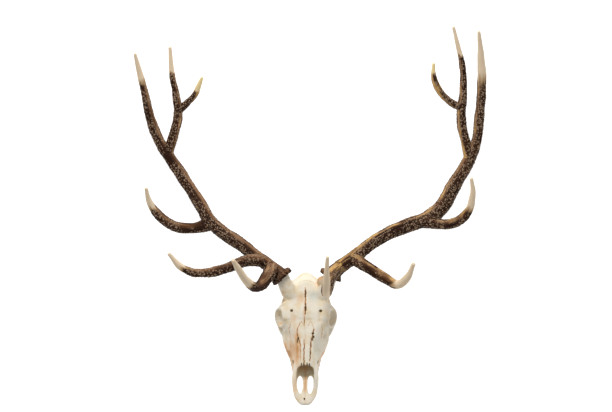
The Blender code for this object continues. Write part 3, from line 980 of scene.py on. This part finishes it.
def loft(sections: Sequence[Section], around: int = 56, steps: int = 4) -> bpy.types.Object:
    """A closed body through cross sections.

    Args:
        sections: The outlines, from front to back.
        around: Points on each ring.
        steps: Rings from one section to the next.

    Returns:
        The body.
    """
    outlines = np.array([section.outline() for section in sections])
    places = np.array([section.y for section in sections], float)

    def build(bm: bmesh.types.BMesh) -> None:
        rings = []
        for at in np.linspace(0, len(sections) - 1, (len(sections) - 1) * steps + 1):
            outline = between(outlines, at, closed=False)
            y = float(between(places, at, closed=False))
            turns = np.linspace(0, len(outline), around + 1)[:-1]
            corners = [between(outline, turn, closed=True) for turn in turns]
            rings.append([bm.verts.new((x, y, z)) for x, z in corners])
        bridge(bm, rings, closed=False)

    return mesh_object("loft", build)


@dataclass(frozen=True)
class Swell:
    """A soft rise of the bone, or a hollow where the height is negative.

    It is given for the left side, and is on both where it is paired.
    """

    centre: Point
    reach: Point
    height: float
    paired: bool = True

    def over(self, points: np.ndarray) -> np.ndarray:
        """The height that it adds at each point."""
        total = np.zeros(len(points))
        for side in Side if self.paired else (Side.LEFT,):
            apart = (points - side.of(self.centre)) / self.reach
            total += self.height * np.exp(-(apart**2).sum(axis=1))
        return total


@dataclass(frozen=True)
class Bone:
    """One bone of the skull: the solid that it stands for, and the box that parts it off."""

    node: str
    slot: str
    low: Point
    high: Point
    turn: Matrix = field(default_factory=Matrix)
    place: Matrix = field(default_factory=Matrix)

    @property
    def name(self) -> str:
        """The name of the piece that stands for the solid."""
        return f"bone_{self.node}"

    def block(self, wave: Grain, grown: float = 0.0) -> bpy.types.Object:
        """The box round the bone, with sides that waver as a seam between bones does.

        Args:
            wave: The noise that the sides follow.
            grown: How far the box is enlarged, in millimetres.

        Returns:
            The box.
        """
        low, high = Vector(self.low), Vector(self.high)
        shape = Matrix.Translation((low + high) / 2) @ self.turn.to_4x4() @ Matrix.Diagonal((*(high - low), 1))
        cuts = 34

        def build(bm: bmesh.types.BMesh) -> None:
            bmesh.ops.create_cube(bm, size=1)
            bmesh.ops.subdivide_edges(bm, edges=bm.edges[:], cuts=cuts, use_grid_fill=True)
            bm.transform(self.place @ shape)

        obj = mesh_object("block", build)
        surface = Surface(obj)
        waver = [Grain(wave.seed + k).rough(surface.points / 5.5) for k in range(3)]
        normals = surface.normals()
        surface.points = surface.points + 0.55 * np.stack(waver, axis=1) + grown * normals
        surface.write()
        return obj


@dataclass
class Skull:
    """The skull without its lower jaw, as one skin that is parted into its bones."""

    face: tuple[Section, ...]
    cranium: tuple[Section, ...]
    nasal_cavity: tuple[Section, ...]
    bars: dict[str, Course]
    base: Course
    lumps: dict[str, tuple[Point, Point]]
    pits: dict[str, tuple[Point, Point]]
    notches: tuple[tuple[Point, Point], ...]
    swells: tuple[Swell, ...]
    relief: float
    stains: tuple[Swell, ...]
    cool_shade_patches: tuple[Swell, ...]
    bleach: Swell
    seam_lines: tuple[tuple[Point, ...], ...]
    nape: tuple[Point, Point] = ((0, 382, 58), (60, 15, 22))
    left_pedicle_web: tuple[Point, Point] = ((50, 341, 140), (20, 15, 20))
    orbit_centre: Point = (76, 252, 76)
    orbit_facing: Point = (0.85, -0.35, 0.38)
    orbit_radius: float = 27
    orbit_rim: float = 5
    ear: tuple[Point, Point, float, float] = ((52, 356, 58), (1, -0.1, 0.2), 8, 26)
    socket: tuple[Point, Point] = ((80, 250, 77), (27, 23, 23))
    palate_vault: tuple[Point, Point] = ((0, 170, -8), (27, 64, 11))
    choana: tuple[Point, Point] = ((0, 268, 10), (15, 36, 20))
    foramen_magnum: tuple[Point, Point, float, float] = ((0, 404, 66), (0, 1, -0.2), 13, 44)
    palate_window: tuple[Point, Point, float, float, float] = ((15.5, 64, 0), (0, 0, 1), 31, 40, 0.3)
    rough_voxel: float = 2.0
    voxel: float = 1.5
    softness: int = 5
    seam_width: float = 0.08
    seat_radius: float = 43.5
    seat_depth: float = 14.6
    finish: BoneFinish = field(default_factory=BoneFinish)

    def shapes(self) -> list[bpy.types.Object]:
        """The solid shapes whose common skin is the skull."""
        made = [loft(self.face), loft(self.cranium), self.base.tube()]
        made += [lump(*self.nape), lump(*self.left_pedicle_web)]
        for side in Side:
            centre, axis, radius, length = self.ear
            made.append(rod(side.of(centre), side.of(axis), radius, length))
            rim = side.of(self.orbit_centre), side.of(self.orbit_facing)
            made.append(ring(*rim, self.orbit_radius, self.orbit_rim))
            made += [course.mirrored(side).tube() for course in self.bars.values()]
            made += [lump(side.of(centre), radii) for centre, radii in self.lumps.values()]
        return made

    def openings(self) -> list[bpy.types.Object]:
        """The shapes cut out of it, such as the sockets, the nose and the small holes."""
        made = [
            loft(self.nasal_cavity),
            lump(*self.palate_vault),
            lump(*self.choana),
            rod(*self.foramen_magnum),
        ]
        for side in Side:
            made.append(lump(side.of(self.socket[0]), self.socket[1]))
            made.append(rod(side.of(self.palate_window[0]), *self.palate_window[1:]))
            made += [lump(side.of(centre), radii) for centre, radii in self.pits.values()]
        made += [lump(centre, radii) for centre, radii in self.notches]
        return made

    def body(self) -> tuple[bpy.types.Object, BVHTree]:
        """The whole skull as one skin, and the skin that it had before it was opened."""
        coarse = 1.0
        obj = join("skull", self.shapes())
        reskin(obj, self.rough_voxel * coarse)
        shell = BVHTree.FromPolygons(
            [vertex.co for vertex in obj.data.vertices], [polygon.vertices for polygon in obj.data.polygons]
        )
        for opening in self.openings():
            combine(obj, opening, Cut.DIFFERENCE)
        reskin(obj, self.voxel * coarse)
        surface = Surface(obj)
        surface.soften(self.softness)
        surface.raise_by(self.relief * sum(swell.over(surface.points) for swell in self.swells))
        surface.soften(1)
        return obj, shell

    def part(self, body: bpy.types.Object, bones: Sequence[Bone], rest: Bone) -> list[bpy.types.Object]:
        """Takes each bone off the body, with a thin wavering seam.

        Args:
            body: The whole skull, which is used up.
            bones: The bones in the order in which they come off.
            rest: The bone that is left.

        Returns:
            The bones, in that order.
        """
        wave = Grain(21)
        parts = []
        for bone in bones:
            piece = new_object(bone.name, body.data.copy())
            combine(piece, bone.block(wave), Cut.INTERSECT)
            keep_largest(piece)
            combine(body, bone.block(wave, self.seam_width), Cut.DIFFERENCE)
            parts.append(piece)
        keep_largest(body)
        body.name = rest.name
        parts.append(body)
        return parts

    def seams(self, points: np.ndarray) -> np.ndarray:
        """How near each point is to a seam that isn't the edge of a piece, from 0 to 1."""
        wave = Grain(33)
        x = points[:, 0] + 1.6 * wave.smooth(points / 5) + 0.6 * wave.smooth(points / 2.2)
        y = points[:, 1] + 1.6 * wave.smooth(points / 5 + 40)
        strength = np.zeros(len(points))
        for line in self.seam_lines:
            for (x1, y1, dark1), (x2, y2, dark2) in zip(line, line[1:]):
                run = np.array((x2 - x1, y2 - y1))
                share = np.clip(((x - x1) * run[0] + (y - y1) * run[1]) / (run @ run), 0, 1)
                apart = np.hypot(x - x1 - share * run[0], y - y1 - share * run[1])
                dark = dark1 + (dark2 - dark1) * share
                strength = np.maximum(strength, dark * smooth_step(1.0 + 2.0 * dark, 0.4, apart))
        upper = smooth_step(36, 56, points[:, 2])
        return strength * upper

    def dress(self, parts: list[bpy.types.Object], shell: BVHTree) -> None:
        """Gives the bones their fine relief and keeps the masks for their finish.

        Args:
            parts: The bones, in the skull frame.
            shell: The skin before the openings were cut, which tells how deep a point lies.
        """
        surfaces = [Surface(part) for part in parts]
        trees = []
        for surface in surfaces:
            tree = kdtree.KDTree(len(surface.points))
            for index, point in enumerate(surface.points):
                tree.insert(point, index)
            tree.balance()
            trees.append(tree)
        for number, (part, surface) in enumerate(zip(parts, surfaces)):
            points = surface.points
            low, high = points.min(axis=0) - 3, points.max(axis=0) + 3
            others = []
            for other, tree in zip(surfaces, trees):
                if other is surface:
                    continue
                if (other.points.min(axis=0) < high).all() and (other.points.max(axis=0) > low).all():
                    others.append(tree)
            apart = np.array([min((tree.find(point)[2] for tree in others), default=9.0) for point in points])
            edge = smooth_step(1.9, 0.5, apart)
            depth = np.array([shell.find_nearest(point)[3] for point in points])
            seam = np.maximum(0.02 * edge, self.seams(points))
            in_socket = smooth_step(150, 200, points[:, 1]) * smooth_step(20, 40, abs(points[:, 0]))
            # painted shade in deep recesses, mostly left out of the eye sockets
            deep = smooth_step(3.0, 16.0, depth) * (1 - 0.97 * in_socket)
            height = 0.8 * Grain(41).rough(points / 17) + 0.2 * Grain(42).rough(points / 3.4)
            surface.raise_by((height - 0.7 * seam) * (1 - edge))
            surface.store("seam", seam)
            surface.store("deep", deep)
            surface.store("crest", np.clip(0.5 + surface.bulge(6) / 1.6, 0, 1))
            surface.store("stain", self.stained(points))
            # mask for the greyer painted shade
            surface.store("cool_shade", np.clip(sum(patch.over(points) for patch in self.cool_shade_patches), 0, 1))
            # mask for the painted highlight on the top of the head
            surface.store("bleach", self.bleach.over(points))
            # mask for the painted shade in the small holes
            surface.store("hole", self.holed(points))
            LOG.info("bone %s: %d points", part.name, len(points))

    def stained(self, points: np.ndarray) -> np.ndarray:
        """Where the bone has taken up colour, in patches that are broken up along the face."""
        cloud = 0.5 + 0.5 * Grain(51).rough(points / 24)
        streak = 0.5 + 0.5 * Grain(52).rough(points / (6, 48, 12))
        under = 0.5 * smooth_step(40, 10, points[:, 2]) * smooth_step(96, 120, points[:, 1])
        patches = sum(patch.over(points) for patch in self.stains) + under
        return np.clip(patches * (0.45 + 0.5 * cloud + 0.6 * streak), 0, 1.4)

    def holed(self, points: np.ndarray) -> np.ndarray:
        """How far inside one of the small holes each point lies, from 0 to 1, where the finish paints shade."""
        total = np.zeros(len(points))
        holes = [(side.of(centre), radii) for side in Side for centre, radii in self.pits.values()]
        for centre, radii in [*holes, *self.notches]:
            apart = np.sqrt((((points - centre) / radii) ** 2).sum(axis=1))
            total = np.maximum(total, smooth_step(1.5, 1.02, apart))
        return total

    def seat(self, pedicle: bpy.types.Object, antler: Antler) -> None:
        """Cuts the top of a pedicle to the face that the burr sits on."""
        centre = Vector(antler.beam.points[0][:3])
        place = SKULL_TO_CROWN.inverted()
        collar = rod(centre, antler.burr_axis, self.seat_radius, self.seat_depth)
        collar.data.transform(place)
        combine(pedicle, collar, Cut.DIFFERENCE)
        keep_largest(pedicle)

    def build(self, bones: Sequence[Bone], rest: Bone, antlers: Sequence[Antler]) -> list[bpy.types.Object]:
        """Makes the bones, dresses them and sets them in place of their solids.

        Args:
            bones: The bones that are parted off, in order.
            rest: The one that is left.
            antlers: The antlers that stand on the pedicles.

        Returns:
            The finished pieces.
        """
        body, shell = self.body()
        parts = self.part(body, bones, rest)
        for antler in antlers:
            pedicle = next(part for part in parts if part.name == f"bone_pedicle_{antler.side.word}")
            self.seat(pedicle, antler)
        self.dress(parts, shell)
        material = self.finish.material()
        for part, bone in zip(parts, [*bones, rest]):
            on_floor(part, CROWN_TO_FLOOR @ SKULL_TO_CROWN)
            part.data.set_sharp_from_angle(angle=math.radians(55))
            part.data.materials.clear()
            part.data.materials.append(material)
            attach(part, "root")
            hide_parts(bone.node)
        return parts


@dataclass
class ToothRow:
    """The six cheek teeth of one side."""

    side: Side
    lengths: tuple[float, ...] = (14, 15, 16, 19, 22, 23)
    widths: tuple[float, ...] = (13, 15, 17, 19, 20, 18)
    front: Point = (34, 117, -3)
    back: Point = (48, 224, -5)
    space: float = 0.8
    crown_height: float = 13.0
    sunk: float = 4.0
    first_molar: int = 3
    voxel: float = 0.8
    finish: ToothFinish = field(default_factory=ToothFinish)

    def lobe(self, middle: Vector, length: float, width: float) -> list[bpy.types.Object]:
        """One lobe of a tooth: a rounded column with an outer and an inner cusp."""
        half = self.crown_height / 2
        body = middle + Vector((0, 0, -half))
        pieces = [lump(body, (width * 0.52, length * 0.56, half * 1.5))]
        outer = body + Vector((self.side.value * width * 0.30, 0, -half * 0.75))
        inner = body + Vector((-self.side.value * width * 0.26, 0, -half * 0.6))
        pieces.append(lump(outer, (width * 0.19, length * 0.40, half * 1.0)))
        pieces.append(lump(inner, (width * 0.19, length * 0.40, half * 0.9)))
        return pieces

    def build(self) -> bpy.types.Object:
        """Makes the teeth, dresses them and sets them in place of their solid.

        Returns:
            The finished row.
        """
        front, back = Vector(self.side.of(self.front)), Vector(self.side.of(self.back))
        forward = (back - front).normalized()
        pieces = []
        travelled = 0.0
        for index, (length, width) in enumerate(zip(self.lengths, self.widths)):
            middle = front.lerp(back, (travelled + length / 2) / sum(self.lengths))
            middle.z += self.sunk
            lobes = 2 if index >= self.first_molar else 1
            share = (length - self.space) / lobes
            for lobe in range(lobes):
                shift = (lobe - (lobes - 1) / 2) * share
                pieces += self.lobe(middle + forward * shift, share, width)
            travelled += length
        row = join(f"teeth_{self.side.word}", pieces)
        reskin(row, self.voxel)
        worn = Surface(row)
        worn.points[:, 2] = np.maximum(worn.points[:, 2], -CROWN_REACH)
        worn.soften(2)
        worn.raise_by(0.15 * Grain(61).rough(worn.points / (2.2, 2.2, 6)))
        worn.store("crest", np.clip(0.5 + worn.bulge(6) / 1.0, 0, 1))
        on_floor(row, CROWN_TO_FLOOR @ SKULL_TO_CROWN)
        row.data.materials.clear()
        row.data.materials.append(self.finish.material())
        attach(row, "root")
        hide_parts(f"tooth_row_{self.side.word}")
        return row


CROWN_REACH = 18.0


@dataclass
class Studio:
    """The pale floor, the soft lights and the camera above."""

    floor_size: float = 14.0
    floor_drop: float = 0.0006
    floor_colour: Colour = (0.50, 0.50, 0.50, 1)
    eye: Point = (3, 213, 4000)
    sensor: float = 36.0
    millimetres_per_pixel: float = 3.0
    photo_width: int = 612
    sky_strength: float = 0.36
    floor_glow: float = 0.92

    def floor(self) -> bpy.types.Object:
        """The plain floor, which isn't part of the object."""
        half = self.floor_size / 2
        obj = mesh_object("floor", lambda bm: bmesh.ops.create_grid(bm, x_segments=1, y_segments=1, size=half))
        obj.location.z = -self.floor_drop
        material = bpy.data.materials.new("floor")
        material.use_nodes = True
        shader = material.node_tree.nodes["Principled BSDF"]
        shader.inputs["Base Color"].default_value = self.floor_colour
        shader.inputs["Roughness"].default_value = 0.9
        shader.inputs["Emission Color"].default_value = (1, 1, 1, 1)
        shader.inputs["Emission Strength"].default_value = self.floor_glow
        obj.data.materials.append(material)
        return obj

    def camera(self) -> None:
        """A camera straight over the plane of the burrs, as far off as the photo's scale says."""
        data = bpy.data.cameras.new("camera")
        data.sensor_width = self.sensor
        data.lens = self.sensor * self.eye[2] / (self.millimetres_per_pixel * self.photo_width)
        data.clip_end = 50
        camera = new_object("camera", data)
        camera.location = CROWN_TO_FLOOR @ Vector(self.eye)
        camera.rotation_euler = (REST_LEAN, 0, 0)
        bpy.context.scene.camera = camera

    def lamp(self, name: str, place: Point, size: float, power: float) -> None:
        """A square soft light that faces the object."""
        data = bpy.data.lights.new(name, "AREA")
        data.shape = "SQUARE"
        data.size = size
        data.energy = power
        obj = new_object(name, data)
        obj.location = place
        obj.rotation_euler = Vector(place).to_track_quat("Z", "Y").to_euler()

    def build(self) -> None:
        """Sets up the floor, the world, the lights and the camera."""
        self.floor()
        self.camera()
        self.lamp("key", (-0.5, 2.6, 2.3), 1.2, 78)
        self.lamp("fill", (2.2, -1.6, 2.6), 2.4, 8)
        world = bpy.data.worlds.new("sky")
        world.use_nodes = True
        sky = world.node_tree.nodes["Background"]
        sky.inputs["Color"].default_value = (1, 1, 1, 1)
        sky.inputs["Strength"].default_value = self.sky_strength
        bpy.context.scene.world = world
        bpy.context.scene.view_settings.view_transform = "Standard"


def antlers() -> list[Antler]:
    """The two antlers, whose bends and tines differ."""
    left = Antler(
        Side.LEFT,
        Vector((0.437, 0.899, 0)),
        Tine(
            (
                (78, 6, 0, 23), (119, 40, -4, 20.5), (151, 62, -8, 20), (223, 115, -26, 19.5),
                (299, 149, -50, 22), (376, 177, -70, 23), (416, 207, -80, 24.5), (457, 276, -89, 22),
                (495, 340, -90, 19.5), (522, 400, -80, 16), (530, 480, -52, 15.2), (530, 585, 4, 13.1),
                (521, 660, 50, 9.6), (509, 724, 97, 3.8),
            ),
            ivory=160,
            fade=40,
            gold=(0.62, 0.05),
        ),
        {
            "brow_tine": Tine(
                (
                    (100, 27, 4, 20.5), (80, 11, 36, 19), (69, -11, 80, 17), (64, -35, 128, 15.5),
                    (61, -31, 168, 12.5), (61, 9, 210, 8.6), (63.5, 70, 250, 4),
                ),
                ivory=176,
                fade=8,
                gold=(0.7, 0.4),
                strip=9.5,
            ),
            "bez_tine": Tine(
                (
                    (146, 55, -3, 19.5), (185, 31, 24, 16.5), (236, 0, 62, 14.5), (270, -16, 92, 13),
                    (295, 2, 122, 10.3), (314, 47, 156, 5),
                ),
                ivory=108,
                gold=(0.35, 0.55),
            ),
            "trez_tine": Tine(
                (
                    (358, 167, -64, 22), (400, 159, -44, 15.6), (443, 160, -16, 14.4),
                    (482, 189, 14, 12.4), (497, 246, 52, 8.2), (489.5, 294, 80, 4),
                ),
                ivory=104,
                gold=(0.45, 0.45),
            ),
            "inner_branch": Tine(
                (
                    (505, 345, -90, 15), (490, 409, -76, 13.4), (475, 474, -54, 13.6),
                    (477, 563, -18, 10.2), (470, 638, 12, 8.6), (455, 687, 38, 6.4), (438, 741, 66, 3.6),
                ),
                ivory=90,
                fade=6,
                gold=(0.5, 0.1),
            ),
            "inner_tine": Tine(
                (
                    (475, 510, -40, 11), (441, 527, -28, 10.2), (405, 559, -10, 9.2),
                    (385, 602, 12, 7), (383.5, 638, 27, 3.4),
                ),
                ivory=30,
                fade=6,
                gold=(0.45, 0.9),
            ),
        },
    )
    right = Antler(
        Side.RIGHT,
        Vector((-0.64, 0.768, 0)),
        Tine(
            (
                (-70, 2, 0, 23), (-112, 36, -4, 20.5), (-144, 59, -9, 20), (-197, 99, -26, 20),
                (-253, 136, -46, 20), (-293, 173, -64, 20), (-312, 206, -72, 20),
                (-360, 279, -90, 18.3), (-408, 351, -92, 18), (-442, 405, -82, 16.3),
                (-469, 480, -50, 14.2), (-484, 564, 0, 10.8), (-495, 623, 36, 7.9), (-502, 663, 64, 3.6),
            ),
            ivory=94,
            fade=16,
            gold=(0.10, 0.05),
        ),
        {
            "brow_tine": Tine(
                (
                    (-100, 25, 6, 23), (-114, 0, 50, 19.5), (-140, -24, 106, 15.5),
                    (-169, -2, 160, 11.8), (-191, 36, 200, 8.6), (-204, 60, 224, 4.8),
                ),
                ivory=118,
                fade=12,
                gold=(0.15, 0.6),
            ),
            "bez_tine": Tine(
                (
                    (-130, 48, -6, 19), (-171, 51, 32, 17.5), (-235, 29, 76, 15),
                    (-301, 17, 108, 12.8), (-352, 31, 132, 10.2), (-393, 76, 160, 4.2),
                ),
                ivory=64,
                gold=(0.1, 0.3),
            ),
            "trez_tine": Tine(
                (
                    (-295, 157, -64, 21), (-324, 149, -52, 17.5), (-352, 146, -36, 16), (-394, 153, -12, 15.2),
                    (-433, 182, 16, 13), (-460, 223, 46, 9.3), (-468, 266, 76, 4),
                ),
                ivory=68,
                gold=(0.05, 0.1),
            ),
            "inner_branch": Tine(
                (
                    (-420, 376, -89, 16), (-400, 433, -74, 13.5), (-386, 492, -50, 12.5),
                    (-390, 548, -24, 10), (-399, 616, 8, 7.4), (-401, 685, 40, 4.4),
                ),
                ivory=80,
                fade=6,
                gold=(0.4, 0.1),
            ),
            "inner_tine": Tine(
                (
                    (-385, 500, -46, 11), (-356, 524, -28, 9.5), (-332, 547, -12, 8.3),
                    (-319, 572, 4, 7), (-307, 597, 18, 3.4),
                ),
                ivory=48,
                fade=6,
                gold=(0.4, 0.9),
            ),
        },
    )
    return [left, right]


def skull() -> Skull:
    """The skull's shapes, openings and small holes."""
    return Skull(
        face=(
            Section(-4, 4, (8, 4.5), (12, 7), (8, 10), 11),
            Section(5, 2, (16, 2.5), (22, 7), (16, 12), 14),
            Section(25, 1, (27, 1), (33, 8), (27, 16), 18),
            Section(50, 0, (31, 0), (37.5, 9), (31, 22), 30),
            Section(76, 0, (33, 0), (40, 9), (31, 35), 44),
            Section(102, 0, (31, -1), (38.5, 8), (27, 49), 61),
            Section(128, 0, (31, -2), (40.5, 8), (26, 61), 70),
            Section(150, 1, (37, -4), (46.5, 9), (28, 69), 77),
            Section(175, 2, (46, -4), (58, 13), (33, 78), 85),
            Section(204, 2, (53, -4), (68, 22), (43, 88), 94),
            Section(235, 3, (52, 2), (71, 39), (60, 99), 103),
            Section(258, 24, (34, 26), (60, 52), (62, 106), 111),
        ),
        cranium=(
            Section(232, 60, (40, 62), (68, 84), (60, 102), 105),
            Section(252, 52, (42, 56), (71, 97), (58, 109), 113),
            Section(275, 48, (38, 54), (66, 102), (48, 113), 117),
            Section(295, 46, (38, 52), (59, 100), (42, 117), 120),
            Section(318, 44, (42, 52), (55, 92), (42, 124), 127),
            Section(345, 42, (46, 50), (53, 82), (30, 122), 130),
            Section(370, 40, (46, 48), (50, 64), (22, 110), 120),
            Section(390, 40, (40, 46), (44, 60), (17, 98), 107),
            Section(400, 48, (22, 54), (27, 66), (14, 90), 98),
        ),
        nasal_cavity=(
            Section(17, 9, (4, 9), (8, 14), (7, 32), 36),
            Section(35, 7, (15, 7), (20, 14), (19, 46), 60),
            Section(60, 6, (22, 7), (26, 18), (23, 62), 80),
            Section(88, 6, (22, 7), (26, 22), (21, 70), 92),
            Section(103, 6, (21, 7), (26, 24), (19, 45), 53),
            Section(130, 7, (18, 8), (24, 26), (17, 50), 58),
            Section(180, 14, (9, 16), (13, 32), (10, 50), 56),
        ),
        bars={
            "cheek_arch": Course(
                (
                    (64, 220, 34, 11), (79, 246, 47, 9), (83, 272, 50, 7),
                    (72, 302, 57, 7), (61, 330, 64, 8), (49, 346, 66, 9),
                )
            ),
            "postorbital_bar": Course(
                ((50, 284, 104, 11), (68, 281, 97, 9), (81, 276, 78, 7), (83, 274, 56, 6))
            ),
            "jugular_process": Course(
                ((44, 378, 70, 12), (45, 370, 48, 10), (41, 360, 28, 7), (38, 352, 12, 4.5))
            ),
            "pterygoid": Course(
                ((22, 236, 4, 7), (22, 262, 12, 6), (24, 290, 30, 8), (26, 312, 46, 9))
            ),
            "pedicle": Course(
                ((40, 308, 96, 26), (55, 322, 120, 24), (67, 338, 144, 21), (75, 352, 160, 20))
            ),
        },
        base=Course(((0, 396, 52, 13), (0, 370, 42, 14), (0, 320, 42, 14), (0, 262, 34, 12))),
        lumps={
            "eye_cup": ((62, 253, 72), (22, 28, 27)),
            "condyle": ((20, 396, 50), (13, 13, 19)),
            "bulla": ((33, 348, 38), (11, 16, 13)),
        },
        pits={
            "brow_hole": ((43.5, 256, 113), (3.9, 3.6, 7)),
            "cheek_hole": ((38, 128, 26), (6, 5, 3.6)),
            "nasal_notch_inner": ((5, 99, 60), (1.6, 7, 14)),
            "nasal_notch_outer": ((12, 100, 56), (1.4, 6, 12)),
        },
        notches=(
            ((21, 190, 90), (3.6, 2.2, 8)),
            ((23.5, 180, 88), (2.4, 3.6, 8)),
            ((20.5, 172, 85), (1.2, 3.6, 7)),
            ((-25, 168, 82), (1.5, 5.5, 8)),
            ((-22.5, 176, 84), (2.0, 2.2, 7)),
            ((13.5, 130, 70), (0.9, 18, 5)),
            ((-1.5, 13, 15), (1.7, 4.2, 7)),
        ),
        swells=(
            Swell((0, 262, 113), (8, 52, 16), 1.6, paired=False),
            Swell((-2.5, 280, 116), (2.0, 34, 14), -3.0, paired=False),
            Swell((0, 350, 128), (15, 13, 14), 2.5, paired=False),
            Swell((42, 236, 106), (5, 24, 14), -3.2),
            Swell((20, 292, 116), (11, 30, 16), -1.8),
            Swell((66, 260, 103), (9, 24, 9), 2.2),
            Swell((58, 302, 88), (13, 16, 18), -3.0),
            Swell((58, 188, 60), (6, 19, 14), -6.5),
            Swell((62, 184, 26), (16, 26, 5), 3.0),
            Swell((9, 158, 86), (6, 52, 12), 1.2),
            Swell((17.5, 150, 78), (2.0, 46, 12), -2.2),
            Swell((0, 150, 86), (1.6, 60, 12), -1.6, paired=False),
            Swell((40, 132, 50), (12, 32, 12), -1.8),
            Swell((33, 60, 14), (6, 30, 8), -1.0),
        ),
        seam_lines=(
            ((-2.5, 327, 0.3), (-2.9, 312, 1.1), (-2.6, 299, 0.9), (-2.2, 288, 0.45), (-1.8, 273, 0.8)),
            ((-1.8, 273, 0.8), (-2.0, 260, 1.3), (-2.4, 248, 0.8), (-3.2, 240, 0.4), (-4.5, 232, 0.5)),
            ((-4.5, 232, 0.5), (-5, 224, 0.8), (-5, 216, 0.3), (-5, 198, 0.1)),
            ((-4.5, 172, 0.4), (-4.5, 158, 0.8), (-4.5, 120, 0.7), (-4.5, 100, 0.9)),
            ((-34, 338, 0.1), (-15, 347, 0.25), (0, 350, 0.3), (15, 347, 0.25), (34, 338, 0.1)),
            ((40, 236, 0.15), (50, 208, 0.3), (47, 190, 0.35), (60, 176, 0.1)),
            ((-40, 236, 0.2), (-50, 208, 0.4), (-47, 190, 0.45), (-60, 176, 0.2)),
            ((6, 212, 0.3), (14, 226, 0.25), (24, 206, 0.4), (22, 190, 0.9), (16, 170, 0.7), (13, 112, 0.6)),
            ((-6, 212, 0.35), (-14, 226, 0.3), (-26, 200, 0.6), (-24, 178, 0.9), (-16, 160, 0.5), (-14, 112, 0.3)),
            ((26, 110, 0.1), (33, 84, 0.25), (38, 60, 0.1)),
            ((-26, 110, 0.15), (-33, 84, 0.35), (-38, 60, 0.15)),
        ),
        relief=1.3,
        stains=(
            Swell((-24, 148, 76), (9, 46, 60), 0.95, paired=False),
            Swell((-42, 158, 52), (17, 48, 50), 0.55, paired=False),
            Swell((-58, 158, 15), (14, 44, 34), 0.55, paired=False),
            Swell((-18, 292, 118), (17, 20, 40), 0.42, paired=False),
            Swell((-5, 246, 112), (5, 20, 40), 0.55, paired=False),
            Swell((-34, 232, 100), (10, 30, 40), 0.30, paired=False),
            Swell((-72, 240, 58), (16, 13, 30), 0.50, paired=False),
            Swell((-68, 318, 112), (11, 28, 40), 0.60, paired=False),
            Swell((44, 342, 142), (17, 16, 34), 0.95, paired=False),
            Swell((60, 260, 100), (9, 14, 30), 0.35, paired=False),
            Swell((-28, 60, 12), (14, 50, 30), 0.50, paired=False),
            Swell((28, 60, 12), (14, 50, 30), 0.20, paired=False),
            Swell((0, 6, 8), (24, 12, 20), 0.30, paired=False),
            Swell((0, 62, 4), (5, 40, 12), 0.80, paired=False),
            Swell((43, 244, 108), (4, 9, 12), 0.35),
        ),
        # patches of greyer painted shade, mostly on the animal's left side and in both eye sockets
        cool_shade_patches=(
            Swell((22, 300, 118), (20, 22, 40), 0.85, paired=False),
            Swell((34, 168, 66), (26, 64, 60), 0.60, paired=False),
            Swell((80, 252, 76), (18, 30, 36), 0.55),
            Swell((-60, 340, 150), (12, 18, 30), 0.70, paired=False),
            Swell((30, 60, 20), (14, 50, 30), 0.45, paired=False),
        ),
        # painted highlight on the dome between the pedicles
        bleach=Swell((0, 356, 124), (44, 22, 40), 1.0, paired=False),
    )


def bones() -> tuple[list[Bone], Bone]:
    """The bones that are parted off, in order, and the one that is left."""
    pitch = Matrix.Rotation(math.radians(17), 4, "X")
    parted = []
    for side in Side:
        low, high = sorted((side.value * GAP / 2, side.value * 90))
        parted.append(Bone(f"premaxilla_{side.word}", "nose_bone", (low, -30, -60), (high, 98, 160)))
    for side in Side:
        low, high = sorted((side.value * GAP / 2 - NOSE_SEAM_SHIFT, side.value * 16))
        parted.append(Bone(f"nasal_{side.word}", "nose_bone", (low, 92, 62), (high, 224, 102), turn=pitch))
    for side in Side:
        low, high = sorted((side.value * 64, side.value * 120))
        parted.append(Bone(f"zygoma_{side.word}", "bone", (low, 214, 14), (high, 322, 72)))
    for side in Side:
        rise = Vector(side.of((19, 34, 40))).to_track_quat("Z", "Y").to_matrix().to_4x4()
        place = Matrix.Translation(side.of((55, 322, 121))) @ rise
        parted.append(Bone(f"pedicle_{side.word}", "bone", (-40, -40, -2), (40, 40, 80), place=place))
    for node, point, facing in (
        ("occiput", (0, 388, 104), (0, 0.88, -0.47)),
        ("face", (0, 222, 104), (0, -0.90, -0.44)),
    ):
        turned = Vector(facing).to_track_quat("Z", "Y").to_matrix().to_4x4()
        place = Matrix.Translation(point) @ turned
        parted.append(Bone(node, "bone", (-130, -130, 0), (130, 130, 260), place=place))
    return parted, Bone("braincase", "bone", (0, 0, 0), (0, 0, 0))


def main() -> None:
    """Builds the pieces in order and reports each one."""
    logging.basicConfig(level=logging.INFO, format="%(message)s")
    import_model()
    pair = antlers()
    for antler in pair:
        obj = antler.build()
        LOG.info("%s: %d faces", obj.name, len(obj.data.polygons))
    parted, rest = bones()
    for obj in skull().build(parted, rest, pair):
        LOG.info("%s: %d faces", obj.name, len(obj.data.polygons))
    for side in Side:
        obj = ToothRow(side).build()
        LOG.info("%s: %d faces", obj.name, len(obj.data.polygons))
    Studio().build()


if __name__ == "__main__":
    main()
